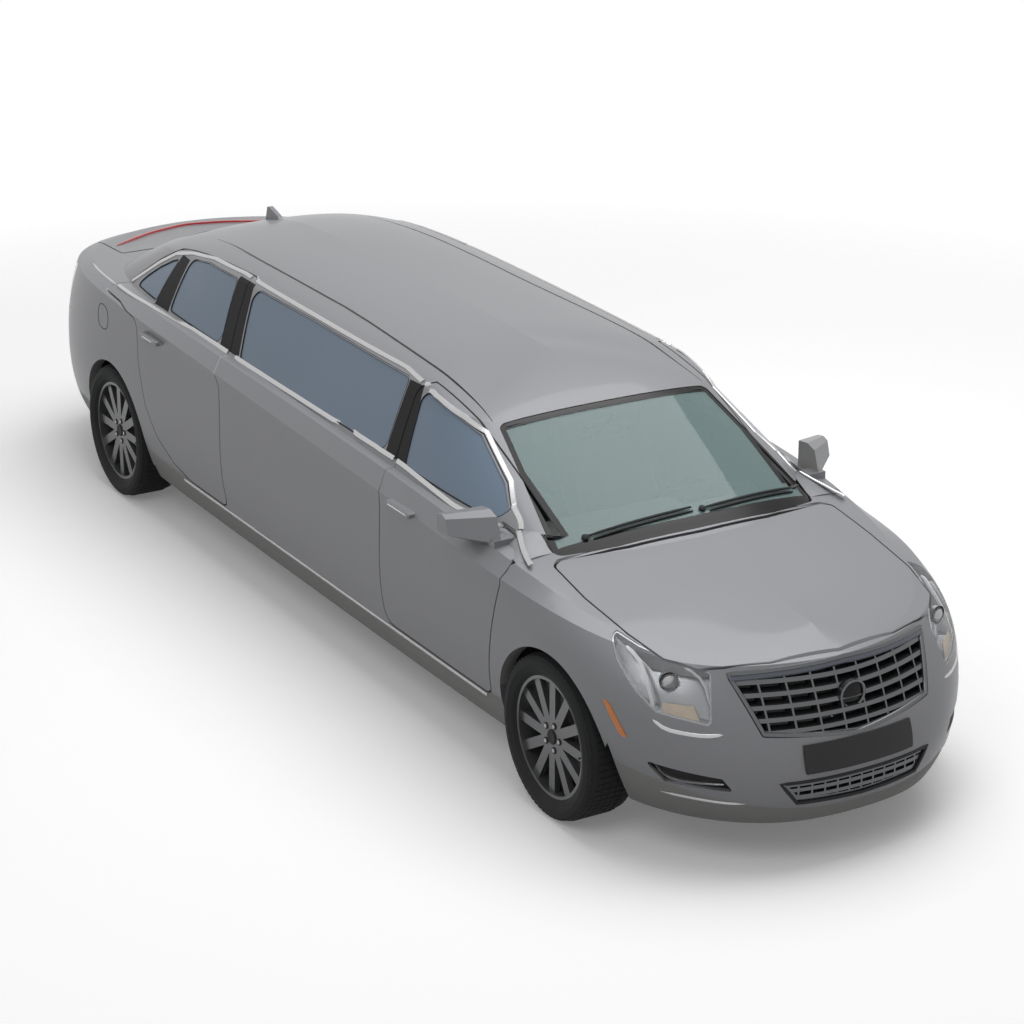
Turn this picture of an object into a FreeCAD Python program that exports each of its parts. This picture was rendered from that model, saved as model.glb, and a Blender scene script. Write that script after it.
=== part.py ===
# Stretch limousine: a long-wheelbase four-door saloon with a fixed panel let in behind the front doors.
# It stands on the road: X runs to the nose, Y to the car's left and Z up, from the ground under its middle.
import FreeCAD
import Part
import math
import os

Vector = FreeCAD.Vector

# Driving dimensions in millimetres; angles are in degrees.
sizes = {
    "front_overhang": 950, "base_wheelbase": 2837, "stretch": 1603, "rear_overhang": 1300,
    "half_width": 926, "overall_height": 1500, "track_half": 787,
    "wall": 70, "pillar_wall": 48, "lid_wall": 42, "shut_gap": 8, "seam": 0.3, "overrun": 400,
    "glass_wall": 5, "glass_set_back": 4, "lens_wall": 4, "door_slant": 32,
    "sill_height": 200, "floor_wall": 40, "corner_radius": 60, "lid_corner": 40,
    "tyre_radius": 352, "tyre_width": 245, "rim_radius": 262, "rim_lip": 14, "arch_radius": 388,
    "house_radius": 412, "house_wall": 12, "house_inner": 470,
    "kingpin_offset": 45, "spindle_radius": 30, "running_gap": 0.05,
    "hinge_gap": 15, "hinge_room": 5, "hinge_pin": 5, "barrel_radius": 9, "strap_wall": 12, "strap_height": 30,
    "strap_reach": 116, "hinge_sweep": 125, "strap_pad": 45, "lid_pin": 3.5, "lid_barrel": 7, "lid_strap": 14, "lid_drop": 62, "bonnet_lift": 42,
    "grille_bar": 16, "grille_set_back": 6,
    "hub_radius": 88, "spoke_depth": 26, "spoke_width": 44, "disc_radius": 165, "disc_wall": 28,
    "upright_radius": 34, "upright_height": 240, "arm_width": 90, "arm_height": 50,
    "rail_outer": 440, "jack_pad": 60, "jack_drop": 10, "rail_width": 60, "rail_low": 250, "rail_height": 90,
    "muffler_low": 270, "muffler_height": 150, "pipe_radius": 38, "pipe_wall": 3, "tank_half": 500,
    "boot_floor": 560, "dash_depth": 380, "dash_half": 655, "console_width": 200,
    "column_length": 90, "column_angle": 25, "column_radius": 36, "hub_gap": 5,
    "wheel_radius": 178, "wheel_grip": 15, "seat_offset": 370, "seat_width": 520, "seat_radius": 40,
    "cushion_height": 330, "cushion_depth": 500, "plinth": 160, "back_depth": 130, "back_height": 560,
    "back_angle": 22, "head_height": 190, "bench_width": 1360, "cabinet_depth": 420,
    "mirror_foot": 70, "fin_width": 24, "shaft_gap": 0.3, "handle_depth": 28, "handle_height": 26,
    "shaft_radius": 12, "post_offset": 400,
    "engine_width": 600, "engine_length": 620, "engine_height": 500,
}

# Zones along the car: 0 the front axle, 1 and 2 the ends of the let-in panel, 3 the rear axle.
length = sizes["front_overhang"] + sizes["base_wheelbase"] + sizes["stretch"] + sizes["rear_overhang"]
front_axle = length / 2 - sizes["front_overhang"]
zone_starts = [front_axle]
for part_length in (sizes["base_wheelbase"] / 2, sizes["stretch"], sizes["base_wheelbase"] / 2):
    zone_starts.append(zone_starts[-1] - part_length)
rear_axle = zone_starts[3]
zone_lengths = [sizes["base_wheelbase"] / 2, sizes["stretch"], sizes["base_wheelbase"] / 2, sizes["rear_overhang"]]
sizes["front_axle"] = front_axle
sizes["rear_axle"] = rear_axle

doc = FreeCAD.newDocument("limousine")
sheet = doc.addObject("Spreadsheet::Sheet", "Sizes")
for row, (name, value) in enumerate(sizes.items(), start=1):
    sheet.set("A%d" % row, name)
    sheet.set("B%d" % row, str(value))
    sheet.setAlias("B%d" % row, name)
doc.recompute()


def size(name):
    return float(sheet.get(name))


# A place is a share of its zone along the car, of the half width and of the height.
def station(share):
    if share < 0:
        return front_axle - share * size("front_overhang")
    zone = min(int(share), 3)
    return zone_starts[zone] - (share - zone) * zone_lengths[zone]


def place(shares, inset=0, drop=0):
    share, side, rise = shares
    x = station(share) * (1 - inset / (length / 2))
    y = side * size("half_width") * (1 - inset / size("half_width"))
    z = rise * size("overall_height") * (1 - drop / size("overall_height"))
    return Vector(x, y, z)


# Lines of the lower body, each from the nose round the side to the tail: share of zone, half width, height.
sill_shares = [
    (-0.968, 0, 0.133), (-0.968, 0.184, 0.133), (-0.916, 0.41, 0.133), (-0.726, 0.637, 0.133),
    (-0.463, 0.799, 0.133), (0, 0.864, 0.133), (0.352, 0.886, 0.133), (0.994, 0.891, 0.133),
    (2.006, 0.891, 0.133), (2.619, 0.886, 0.133), (3.008, 0.864, 0.133), (3.392, 0.842, 0.133),
    (3.685, 0.745, 0.133), (3.854, 0.529, 0.133), (3.892, 0.216, 0.133), (3.892, 0, 0.133),
]
rocker_shares = [
    (-1.029, 0, 0.22), (-1.029, 0.216, 0.22), (-0.974, 0.475, 0.22), (-0.779, 0.724, 0.22),
    (-0.495, 0.907, 0.22), (0, 0.956, 0.22), (0.352, 0.961, 0.22), (0.994, 0.961, 0.22),
    (2.006, 0.961, 0.22), (2.619, 0.961, 0.22), (3.008, 0.961, 0.22), (3.392, 0.95, 0.22),
    (3.742, 0.832, 0.22), (3.962, 0.529, 0.22), (3.996, 0.216, 0.22), (3.996, 0, 0.22),
]
hip_shares = [
    (-0.974, 0, 0.38), (-0.974, 0.194, 0.38), (-0.905, 0.475, 0.38), (-0.737, 0.756, 0.387),
    (-0.484, 0.972, 0.4), (0, 1.01, 0.413), (0.352, 1.004, 0.413), (0.994, 1.004, 0.413),
    (2.006, 1.004, 0.413), (2.619, 1.004, 0.413), (3.008, 1.01, 0.42), (3.392, 0.994, 0.433),
    (3.773, 0.853, 0.44), (3.996, 0.529, 0.44), (4.035, 0.216, 0.44), (4.035, 0, 0.44),
]
flank_shares = [
    (-0.884, 0, 0.493), (-0.884, 0.173, 0.493), (-0.779, 0.486, 0.493), (-0.632, 0.756, 0.507),
    (-0.379, 0.94, 0.533), (0, 0.983, 0.553), (0.352, 0.983, 0.567), (0.994, 0.977, 0.587),
    (2.006, 0.977, 0.613), (2.619, 0.977, 0.633), (3.008, 0.977, 0.647), (3.392, 0.95, 0.653),
    (3.723, 0.821, 0.653), (3.877, 0.529, 0.653), (3.915, 0.216, 0.653), (3.915, 0, 0.653),
]
crease_shares = [
    (-0.832, 0, 0.553), (-0.832, 0.162, 0.553), (-0.726, 0.497, 0.55), (-0.558, 0.707, 0.56),
    (-0.295, 0.864, 0.583), (0, 0.945, 0.603), (0.352, 0.985, 0.623), (0.994, 0.988, 0.66),
    (2.006, 0.988, 0.697), (2.619, 0.988, 0.72), (3.008, 0.972, 0.727), (3.392, 0.929, 0.733),
    (3.654, 0.788, 0.733), (3.804, 0.529, 0.737), (3.846, 0.216, 0.74), (3.85, 0, 0.74),
]
belt_shares = [
    (-0.8, 0, 0.56), (-0.8, 0.151, 0.56), (-0.695, 0.454, 0.56), (-0.516, 0.648, 0.573),
    (-0.274, 0.788, 0.597), (0, 0.853, 0.617), (0.352, 0.934, 0.68), (0.994, 0.929, 0.713),
    (2.006, 0.929, 0.74), (2.619, 0.918, 0.75), (3.008, 0.886, 0.753), (3.392, 0.832, 0.75),
    (3.635, 0.702, 0.743), (3.781, 0.475, 0.743), (3.831, 0.194, 0.747), (3.835, 0, 0.747),
]
deck_edge_shares = [
    (-0.758, 0, 0.57), (-0.758, 0.13, 0.57), (-0.653, 0.389, 0.57), (-0.474, 0.572, 0.583),
    (-0.232, 0.702, 0.607), (0.014, 0.745, 0.63), (0.352, 0.842, 0.687), (0.994, 0.864, 0.723),
    (2.006, 0.864, 0.75), (2.619, 0.842, 0.757), (3.008, 0.799, 0.757), (3.392, 0.734, 0.753),
    (3.631, 0.626, 0.747), (3.762, 0.432, 0.747), (3.8, 0.173, 0.747), (3.804, 0, 0.747),
]
deck_mid_shares = [
    (-0.674, 0, 0.583), (-0.674, 0.086, 0.583), (-0.558, 0.259, 0.587), (-0.379, 0.367, 0.603),
    (-0.168, 0.432, 0.627), (0.035, 0.454, 0.647), (0.352, 0.486, 0.7), (0.994, 0.486, 0.733),
    (2.006, 0.486, 0.76), (2.619, 0.486, 0.763), (3.008, 0.454, 0.76), (3.392, 0.432, 0.753),
    (3.585, 0.367, 0.747), (3.708, 0.27, 0.747), (3.738, 0.108, 0.747), (3.746, 0, 0.747),
]
deck_centre_shares = [
    (-0.611, 0, 0.59), (-0.579, 0, 0.593), (-0.442, 0, 0.6), (-0.295, 0, 0.613), (-0.105, 0, 0.63),
    (0.07, 0, 0.65), (0.352, 0, 0.7), (0.994, 0, 0.733), (2.006, 0, 0.76), (2.619, 0, 0.763),
    (3.008, 0, 0.76), (3.354, 0, 0.753), (3.508, 0, 0.747), (3.623, 0, 0.747), (3.669, 0, 0.747),
    (3.7, 0, 0.747),
]

# Lines of the glasshouse, from the windscreen round the side to the rear window.
glass_foot_shares = [
    (0.085, 0, 0.633), (0.085, 0.216, 0.633), (0.106, 0.486, 0.633), (0.169, 0.724, 0.633),
    (0.317, 0.891, 0.633), (0.67, 0.934, 0.633), (0.994, 0.945, 0.633), (2.006, 0.95, 0.633),
    (2.619, 0.94, 0.633), (3.123, 0.907, 0.633), (3.469, 0.821, 0.633), (3.623, 0.616, 0.633),
    (3.662, 0.324, 0.633), (3.669, 0, 0.633),
]
glass_belt_shares = [
    (0.254, 0, 0.72), (0.254, 0.216, 0.72), (0.268, 0.475, 0.72), (0.324, 0.691, 0.72),
    (0.437, 0.826, 0.72), (0.705, 0.88, 0.72), (0.994, 0.891, 0.72), (2.006, 0.891, 0.747),
    (2.584, 0.88, 0.753), (2.986, 0.848, 0.753), (3.315, 0.745, 0.753), (3.431, 0.562, 0.753),
    (3.454, 0.292, 0.753), (3.458, 0, 0.753),
]
cant_shares = [
    (0.684, 0, 0.907), (0.684, 0.184, 0.907), (0.684, 0.389, 0.903), (0.705, 0.562, 0.9),
    (0.775, 0.659, 0.903), (0.902, 0.686, 0.923), (1.038, 0.691, 0.937), (2.006, 0.697, 0.947),
    (2.422, 0.691, 0.943), (2.725, 0.675, 0.923), (3.031, 0.632, 0.877), (3.123, 0.475, 0.873),
    (3.138, 0.238, 0.877), (3.142, 0, 0.877),
]
ditch_shares = [
    (0.811, 0, 0.95), (0.811, 0.162, 0.95), (0.811, 0.346, 0.947), (0.825, 0.497, 0.94),
    (0.881, 0.594, 0.937), (1.001, 0.621, 0.957), (1.126, 0.626, 0.973), (1.987, 0.632, 0.987),
    (2.373, 0.626, 0.981), (2.655, 0.605, 0.968), (2.866, 0.54, 0.947), (2.944, 0.378, 0.943),
    (2.958, 0.194, 0.945), (2.958, 0, 0.945),
]
crown_shares = [
    (0.945, 0, 0.977), (0.945, 0.097, 0.977), (0.945, 0.216, 0.975), (0.959, 0.313, 0.972),
    (1.001, 0.356, 0.972), (1.082, 0.367, 0.983), (1.188, 0.367, 0.991), (1.955, 0.367, 1),
    (2.302, 0.367, 0.999), (2.549, 0.362, 0.991), (2.704, 0.324, 0.981), (2.774, 0.227, 0.977),
    (2.796, 0.119, 0.976), (2.796, 0, 0.976),
]
ridge_shares = [
    (1.051, 0, 0.988), (1.063, 0, 0.989), (1.088, 0, 0.99), (1.126, 0, 0.991), (1.176, 0, 0.993),
    (1.25, 0, 0.997), (1.332, 0, 0.999), (1.924, 0, 1), (2.232, 0, 1), (2.373, 0, 0.999),
    (2.478, 0, 0.997), (2.549, 0, 0.993), (2.605, 0, 0.991), (2.655, 0, 0.988),
]

# Outlines of doors, panes, lids and lamps, by the places of their corners on the skin.
door_front_shares = [
    (0.331, 0.929, 0.24), (0.268, 0.988, 0.6), (0.275, 0.983, 0.64), (0.31, 0.929, 0.693),
    (0.493, 0.832, 0.793), (0.719, 0.724, 0.897), (0.818, 0.691, 0.928), (0.941, 0.67, 0.945),
    (1.07, 0.659, 0.953), (1.023, 0.875, 0.74), (0.994, 0.994, 0.66), (0.994, 0.972, 0.24),
]
window_front_shares = [
    (0.423, 0.886, 0.708), (0.553, 0.826, 0.787), (0.733, 0.734, 0.875), (0.818, 0.702, 0.897),
    (0.941, 0.686, 0.917), (1.038, 0.67, 0.931), (0.973, 0.886, 0.73),
]
window_mid_shares = [
    (1.088, 0.886, 0.733), (1.123, 0.67, 0.937), (1.718, 0.664, 0.947), (2.119, 0.664, 0.947),
    (2.024, 0.886, 0.75),
]
door_rear_shares = [
    (2.041, 0.972, 0.24), (2.041, 0.994, 0.667), (2.105, 0.864, 0.76), (2.189, 0.648, 0.968),
    (2.274, 0.648, 0.97), (2.507, 0.648, 0.962), (2.676, 0.659, 0.943), (2.81, 0.68, 0.915),
    (2.915, 0.724, 0.863), (2.993, 0.778, 0.81), (3.069, 0.821, 0.76), (3.062, 0.837, 0.737),
    (2.901, 0.864, 0.733), (2.746, 0.961, 0.717), (2.732, 0.983, 0.687), (2.725, 0.983, 0.567),
    (2.676, 0.983, 0.427), (2.598, 0.983, 0.333), (2.478, 0.972, 0.267), (2.351, 0.972, 0.24),
]
window_rear_shares = [
    (2.182, 0.886, 0.753), (2.256, 0.659, 0.945), (2.507, 0.648, 0.939), (2.648, 0.659, 0.921),
    (2.633, 0.864, 0.759),
]
window_quarter_shares = [
    (2.767, 0.853, 0.76), (2.75, 0.691, 0.897), (2.796, 0.691, 0.883), (2.873, 0.724, 0.845),
    (2.94, 0.778, 0.803), (2.986, 0.821, 0.763),
]
windscreen_shares = [
    (0.183, 0, 0.667), (0.187, 0.432, 0.667), (0.219, 0.713, 0.673), (0.712, 0.578, 0.901),
    (0.705, 0, 0.917),
]
rear_window_shares = [
    (3.415, 0, 0.767), (3.404, 0.41, 0.767), (3.331, 0.562, 0.777), (2.944, 0.475, 0.923),
    (2.972, 0, 0.93),
]
roof_shares = [
    (0.67, 0, 0.933), (0.67, 0.54, 0.933), (0.733, 0.572, 0.933), (1.02, 0.562, 0.933),
    (1.3, 0.54, 0.933), (2.196, 0.518, 0.933), (2.549, 0.502, 0.933), (2.831, 0.481, 0.933),
    (2.986, 0.454, 0.933), (3.046, 0.41, 0.933), (3.046, 0, 0.933),
]
bonnet_shares = [
    (0.161, 0, 0.667), (0.168, 0.378, 0.667), (0.2, 0.713, 0.653), (0.183, 0.761, 0.647),
    (0, 0.772, 0.62), (-0.316, 0.756, 0.593), (-0.526, 0.713, 0.567), (-0.642, 0.616, 0.56),
    (-0.689, 0.518, 0.553), (-0.758, 0.324, 0.553), (-0.805, 0, 0.553),
]
boot_shares = [
    (3.496, 0, 0.747), (3.496, 0.583, 0.747), (3.623, 0.583, 0.747), (4.2, 0.583, 0.747),
    (4.2, 0, 0.747),
]
headlamp_shares = [
    (-0.232, 0.794, 0.6), (-0.421, 0.772, 0.583), (-0.547, 0.702, 0.567), (-0.674, 0.572, 0.54),
    (-0.726, 0.594, 0.407), (-0.632, 0.826, 0.443), (-0.526, 0.864, 0.487), (-0.368, 0.853, 0.547),
]
grille_shares = [
    (-0.842, 0, 0.543), (-0.726, 0.524, 0.533), (-0.842, 0.443, 0.383), (-0.926, 0, 0.36),
]
low_grille_shares = [
    (-0.979, 0, 0.257), (-0.947, 0.389, 0.257), (-0.958, 0.313, 0.2), (-0.989, 0, 0.193),
]
fog_shares = [
    (-0.526, 0.799, 0.303), (-0.779, 0.572, 0.277), (-0.821, 0.54, 0.24), (-0.611, 0.756, 0.25),
]
fender_shares = [
    (0.331, 0, 0.067), (0.331, 0, 0.24), (0.268, 0, 0.6), (0.275, 0, 0.64), (0.219, 0, 0.693),
    (-1, 0, 0.693), (-1, 0, 0.067),
]
bumper_front_shares = [
    (-0.379, 0, 0.067), (-0.379, 0, 0.437), (-0.616, 0, 0.437), (-0.632, 0, 0.6), (-1.105, 0, 0.6),
    (-1.105, 0, 0.067),
]
bumper_rear_shares = [
    (3.262, 0, 0.067), (3.262, 0, 0.413), (3.469, 0, 0.467), (3.623, 0, 0.51), (4.123, 0, 0.51),
    (4.123, 0, 0.067),
]
mirror_inner_shares = [
    (0.356, 0.88, 0.68), (0.384, 0.88, 0.753), (0.423, 0.88, 0.765), (0.469, 0.88, 0.76),
    (0.469, 0.88, 0.67), (0.395, 0.88, 0.663),
]
mirror_outer_shares = [
    (0.465, 1.064, 0.693), (0.479, 1.064, 0.737), (0.501, 1.064, 0.745), (0.532, 1.064, 0.74),
    (0.532, 1.064, 0.69), (0.493, 1.064, 0.687),
]
fin_shares = [
    (2.824, 0, 0.95), (2.841, 0, 0.97), (2.919, 0, 0.991), (2.933, 0, 0.988), (2.954, 0, 0.927),
]
tail_lamp_shares = [
    (3.5, 0, 0.728), (3.569, 0, 0.62), (3.608, 0, 0.553), (4.123, 0, 0.553), (4.123, 0, 0.728),
]


# Surfaces of the body: cubic patches over lines of poles that run from the nose round the left side to the tail.
def knots(count, degree):
    spans = count - degree
    return [float(k) for k in range(spans + 1)], [degree + 1] + [1] * (spans - 1) + [degree + 1]


def curve(poles):
    degree = min(3, len(poles) - 1)
    values, repeats = knots(len(poles), degree)
    line = Part.BSplineCurve()
    line.buildFromPolesMultsKnots(poles, repeats, values, False, degree)
    return line.toShape()


def patch(rows):
    down, round_ = min(3, len(rows) - 1), 3
    values_u, repeats_u = knots(len(rows), down)
    values_v, repeats_v = knots(len(rows[0]), round_)
    surface = Part.BSplineSurface()
    surface.buildFromPolesMultsKnots(rows, repeats_u, repeats_v, values_u, values_v, False, False, down, round_)
    return surface.toShape()


def skin(groups, inset, drop, foot=0):
    faces = []
    feet = []
    for side in (1, -1):
        lines = [[[place(shares, inset, drop) for shares in line] for line in group] for group in groups]
        edge = lines[0][0]
        if foot:
            edge = [Vector(p.x, p.y, p.z - foot) for p in lines[0][0]]
            lines.append([edge, lines[0][0]])
        for group in lines:
            faces.append(patch([[Vector(p.x, side * p.y, p.z) for p in row] for row in group]))
        feet.append(curve([Vector(p.x, side * p.y, p.z) for p in edge]))
    faces.append(Part.Face(Part.Wire(feet)))
    shell = Part.makeShell(faces)
    shell.sewShape()
    solid = Part.makeSolid(shell)
    if solid.Volume < 0:
        solid.reverse()
    return solid


# An outline with its corners rounded, laid in the plane where the axis has one value.
def rounded(points, radius):
    edges = []
    starts = []
    ends = []
    middles = []
    for i, corner in enumerate(points):
        before = points[i - 1] - corner
        after = points[(i + 1) % len(points)] - corner
        reach = 0.45 * min(before.Length, after.Length)
        before.normalize()
        after.normalize()
        half = before.getAngle(after) / 2
        trim = min(reach, radius / math.tan(half)) if half < math.pi / 2 - 0.01 else 0
        starts.append(corner + before * trim)
        ends.append(corner + after * trim)
        bisector = (before + after)
        if trim:
            bisector.normalize()
            bend = trim * math.tan(half)
            middles.append(corner + bisector * (bend / math.sin(half) - bend))
        else:
            middles.append(None)
    for i in range(len(points)):
        if middles[i] is not None:
            edges.append(Part.Arc(starts[i], middles[i], ends[i]).toShape())
        nxt = (i + 1) % len(points)
        if (starts[nxt] - ends[i]).Length > size("seam") / 100:
            edges.append(Part.LineSegment(ends[i], starts[nxt]).toShape())
    return Part.Wire(edges)


def prism(points, along, near, far, radius=0, grow=0):
    # along has 1 in the place of the axis it runs by; near and far are values on that axis
    along = Vector(*along)
    axis = [i for i in (2, 1, 0) if abs(along[i]) == 1][0]
    flat = [p + along * ((near - p[axis]) / along[axis]) for p in points]
    wire = rounded(flat, radius)
    if grow:
        wire = wire.makeOffset2D(grow)
    return Part.Face(wire).extrude(along * ((far - near) / along[axis]))


def block(low, high):
    corner = Vector(min(low[0], high[0]), min(low[1], high[1]), min(low[2], high[2]))
    span = [abs(high[i] - low[i]) for i in range(3)]
    return Part.makeBox(span[0], span[1], span[2], corner)


def both(shape):
    return Part.makeCompound([shape, mirrored(shape)])


def mirrored(shape):
    return shape.mirror(Vector(), Vector(0, 1, 0))


def cut(shape, *tools):
    for tool in tools:
        shape = shape.cut(tool)
    return shape


def tidy(shape):
    largest = max(s.Volume for s in shape.Solids)
    solids = [s for s in shape.Solids if s.Volume > largest / 50]
    return solids[0] if len(solids) == 1 else Part.makeCompound(solids)


# The hollow body: outer skin less inner skin, lower body and glasshouse in one.
lower_groups = [
    [sill_shares, rocker_shares, hip_shares, flank_shares, crease_shares],
    [crease_shares, belt_shares],
    [belt_shares, deck_edge_shares, deck_mid_shares, deck_centre_shares],
]
upper_groups = [
    [glass_foot_shares, glass_belt_shares, cant_shares],
    [cant_shares, ditch_shares, crown_shares, ridge_shares],
]


def lower_skin(inset, drop, foot=0):
    return skin(lower_groups, inset, drop, foot)


def upper_skin(inset, drop, foot=0):
    return skin(upper_groups, inset, drop, foot)


lower_outer = lower_skin(0, 0)
lower_inner = lower_skin(size("wall"), size("wall"), size("overrun") / 4)
upper_outer = upper_skin(0, 0)
upper_inner = upper_skin(size("pillar_wall"), size("pillar_wall"), size("overrun") / 4)
outer = lower_outer.fuse(upper_outer)
inner = lower_inner.fuse(upper_inner)
shell = outer.cut(inner)


# Cutting prisms. Those of the doors lean forward as they go in, so that a door's edge swings clear of its frame.
def places(table, side=-1):
    points = [place(shares) for shares in table]
    return [Vector(p.x, side * p.y, p.z) for p in points]


def whole(table):
    right = places(table)
    left = [Vector(p.x, -p.y, p.z) for p in reversed(right) if abs(p.y) > size("seam")]
    return right + left


half_width = size("half_width")
height = size("overall_height")
gap = size("shut_gap")
seam = size("seam")
reach = length / 2 + size("overrun")
slant = size("door_slant") / 100
frame_inner = half_width * 0.637
window_inner = half_width * 0.54
side_outer = -half_width - size("overrun") / 4


def side_prism(table, radius, grow=0, depth=frame_inner):
    return prism(places(table), (slant, 1, 0), side_outer, -depth, radius, grow)


def plan_prism(table, radius, lean, low, high, grow=0):
    return prism(whole(table), (lean, 0, 1), low, high, radius, grow)


small = size("lid_corner")
round_ = size("corner_radius")
door_inner = half_width * 0.637
shelf_inner = half_width * 0.83
hinge_front_shares = [((0.3525, 0.961, 0.413), 0.247), ((0.3525, 0.961, 0.547), 0.2185)]
hinge_rear_shares = [((2.0835, 0.961, 0.36), 1.9835), ((2.0835, 0.961, 0.547), 1.9835)]


# The door's top edge ahead of its hinge is an arc about the hinge, so it swings in under the cowl.
def cowl(slack):
    pin = places([hinge_front_shares[0][0]])[0]
    side = block((station(0.44) + slack, -shelf_inner + slack, 0), (front_axle, 0, height * 0.7 - slack))
    ahead = block((pin.x, -half_width, height * 0.59 + slack), (front_axle, 0, height * 0.7 - slack))
    disc = Part.makeCylinder(size("hinge_sweep") + slack, height, Vector(pin.x, pin.y, 0))
    return side.fuse(ahead).cut(disc)


door_front = side_prism(door_front_shares, round_, 0, door_inner).cut(cowl(0))
door_rear = side_prism(door_rear_shares, round_, 0, door_inner)
door_front_hole = side_prism(door_front_shares, round_, gap, frame_inner - gap).cut(cowl(gap))
door_rear_hole = side_prism(door_rear_shares, round_, gap, frame_inner - gap)
window_front = side_prism(window_front_shares, small, 0, window_inner)
window_mid = side_prism(window_mid_shares, small, 0, window_inner)
window_rear = side_prism(window_rear_shares, small, 0, window_inner)
window_quarter = side_prism(window_quarter_shares, small / 2, 0, window_inner)
cowl_low = height * 0.6
windscreen_lean = 0.5
rear_window_lean = -0.5
windscreen = plan_prism(windscreen_shares, small, windscreen_lean, cowl_low, height)
rear_window = plan_prism(rear_window_shares, small, rear_window_lean, cowl_low, height)
roof_region = plan_prism(roof_shares, small, 0, height * 0.85, height + gap)
roof_hole = plan_prism(roof_shares, small, 0, height * 0.85, height + gap, seam)
bonnet_lean = 0.22
bevel_lean = -0.7
bonnet_low = height * 0.52
bonnet_region = plan_prism(bonnet_shares, small, bonnet_lean, bonnet_low, height).common(
    plan_prism(bonnet_shares, small, bevel_lean, bonnet_low, height))
bonnet_hole = plan_prism(bonnet_shares, small, bonnet_lean, bonnet_low - gap, height, gap)
hinge_slack = size("hinge_gap") - gap
bonnet_hole = bonnet_hole.fuse(bonnet_hole.translated(Vector(-hinge_slack, 0, 0)))
boot_low = height * 0.51
boot_region = plan_prism(boot_shares, small / 3, 0, boot_low, height)
boot_hole = plan_prism(boot_shares, small / 3, 0, boot_low - gap, height, gap)
boot_hole = boot_hole.fuse(boot_hole.translated(Vector(hinge_slack, 0, 0)))
headlamp_along = (1, -0.75, 0.2)
headlamp_far = station(-0.1)
headlamp_region = prism(places(headlamp_shares), headlamp_along, length / 2 + gap, headlamp_far, small / 2)
headlamp_hole = prism(places(headlamp_shares), headlamp_along, length / 2 + gap, headlamp_far, small / 2, seam)


def side_region(table, grow=0):
    return prism(places(table), (0, 1, 0), -reach, reach, 0, grow)


fender_region = side_region(fender_shares)
bumper_front_region = side_region(bumper_front_shares)
bumper_rear_region = side_region(bumper_rear_shares)
tail_lamp_region = side_region(tail_lamp_shares).common(block((-reach, -half_width * 0.61, 0), (0, -reach, height)))
tail_lamps_region = both(tail_lamp_region)


def arch(axle, radius, inside, outside):
    return Part.makeCylinder(radius, outside - inside, Vector(axle, -outside, size("tyre_radius")), Vector(0, 1, 0))


arches = []
for axle in (front_axle, rear_axle):
    for cutter in (arch(axle, size("arch_radius"), half_width * 0.85, half_width * 1.2),
                   arch(axle, size("house_radius"), size("house_inner"), half_width * 0.918)):
        arches += [cutter, mirrored(cutter)]
body = cut(shell, *arches)
body = cut(body, Part.makeCompound([window_mid, mirrored(window_mid)]), windscreen, rear_window)

doors = Part.makeCompound([door_front_hole, door_rear_hole, mirrored(door_front_hole), mirrored(door_rear_hole)])
lamps = both(headlamp_hole)
frame = body.cut(doors)
bonnet = tidy(frame.common(bonnet_region))
lamp_blocks = body.cut(bonnet_hole).common(both(headlamp_region))
nose = cut(frame, bonnet_hole, lamps)
fenders = tidy(nose.common(fender_region).cut(bumper_front_region))
bumper_front = tidy(nose.common(bumper_front_region))
fin_half = size("fin_width") / 2
fin = prism(places(fin_shares), (0, 1, 0), -fin_half, fin_half)
roof = tidy(frame.common(roof_region).fuse(fin))
tail = cut(frame, fender_region, bumper_front_region, roof_hole)
boot_lid = tidy(cut(body.common(boot_region), bumper_rear_region, tail_lamps_region))
tail_lamp_blocks = tail.cut(boot_hole).common(tail_lamps_region)
bumper_rear = tidy(cut(tail, boot_hole).common(bumper_rear_region))
scuttle_region = block((station(3.3), -half_width * 0.66, height * 0.6), (station(3.65), half_width * 0.66, height))
rest = cut(tail, boot_hole, bumper_rear_region, tail_lamps_region)
scuttle = tidy(rest.common(scuttle_region))
side_walls = rest.cut(scuttle_region)
side_right = tidy(side_walls.common(block((-reach, -reach, 0), (reach, -seam, height + gap))))
door_front_right = tidy(body.common(door_front).cut(window_front))
door_rear_right = tidy(body.common(door_rear).cut(Part.makeCompound([window_rear, window_quarter])))


# Glass: one thin layer inside the outer skin, cut to each opening.
glass_outer = upper_skin(size("glass_set_back"), size("glass_set_back"))
glass_depth = size("glass_set_back") + size("glass_wall")
glass_layer = glass_outer.cut(upper_skin(glass_depth, glass_depth, size("overrun") / 4))


def pane(table, radius):
    return tidy(glass_layer.common(side_prism(table, radius, -seam, window_inner)))


glass_front_right = pane(window_front_shares, small)
glass_rear_right = Part.makeCompound([pane(window_rear_shares, small), pane(window_quarter_shares, small / 2)])
side_glass = both(pane(window_mid_shares, small))
windscreen_pane = tidy(glass_layer.common(
    plan_prism(windscreen_shares, small, windscreen_lean, cowl_low, height, -seam)).cut(doors))
rear_window_pane = tidy(glass_layer.common(
    plan_prism(rear_window_shares, small, rear_window_lean, cowl_low, height, -seam)))

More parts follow.
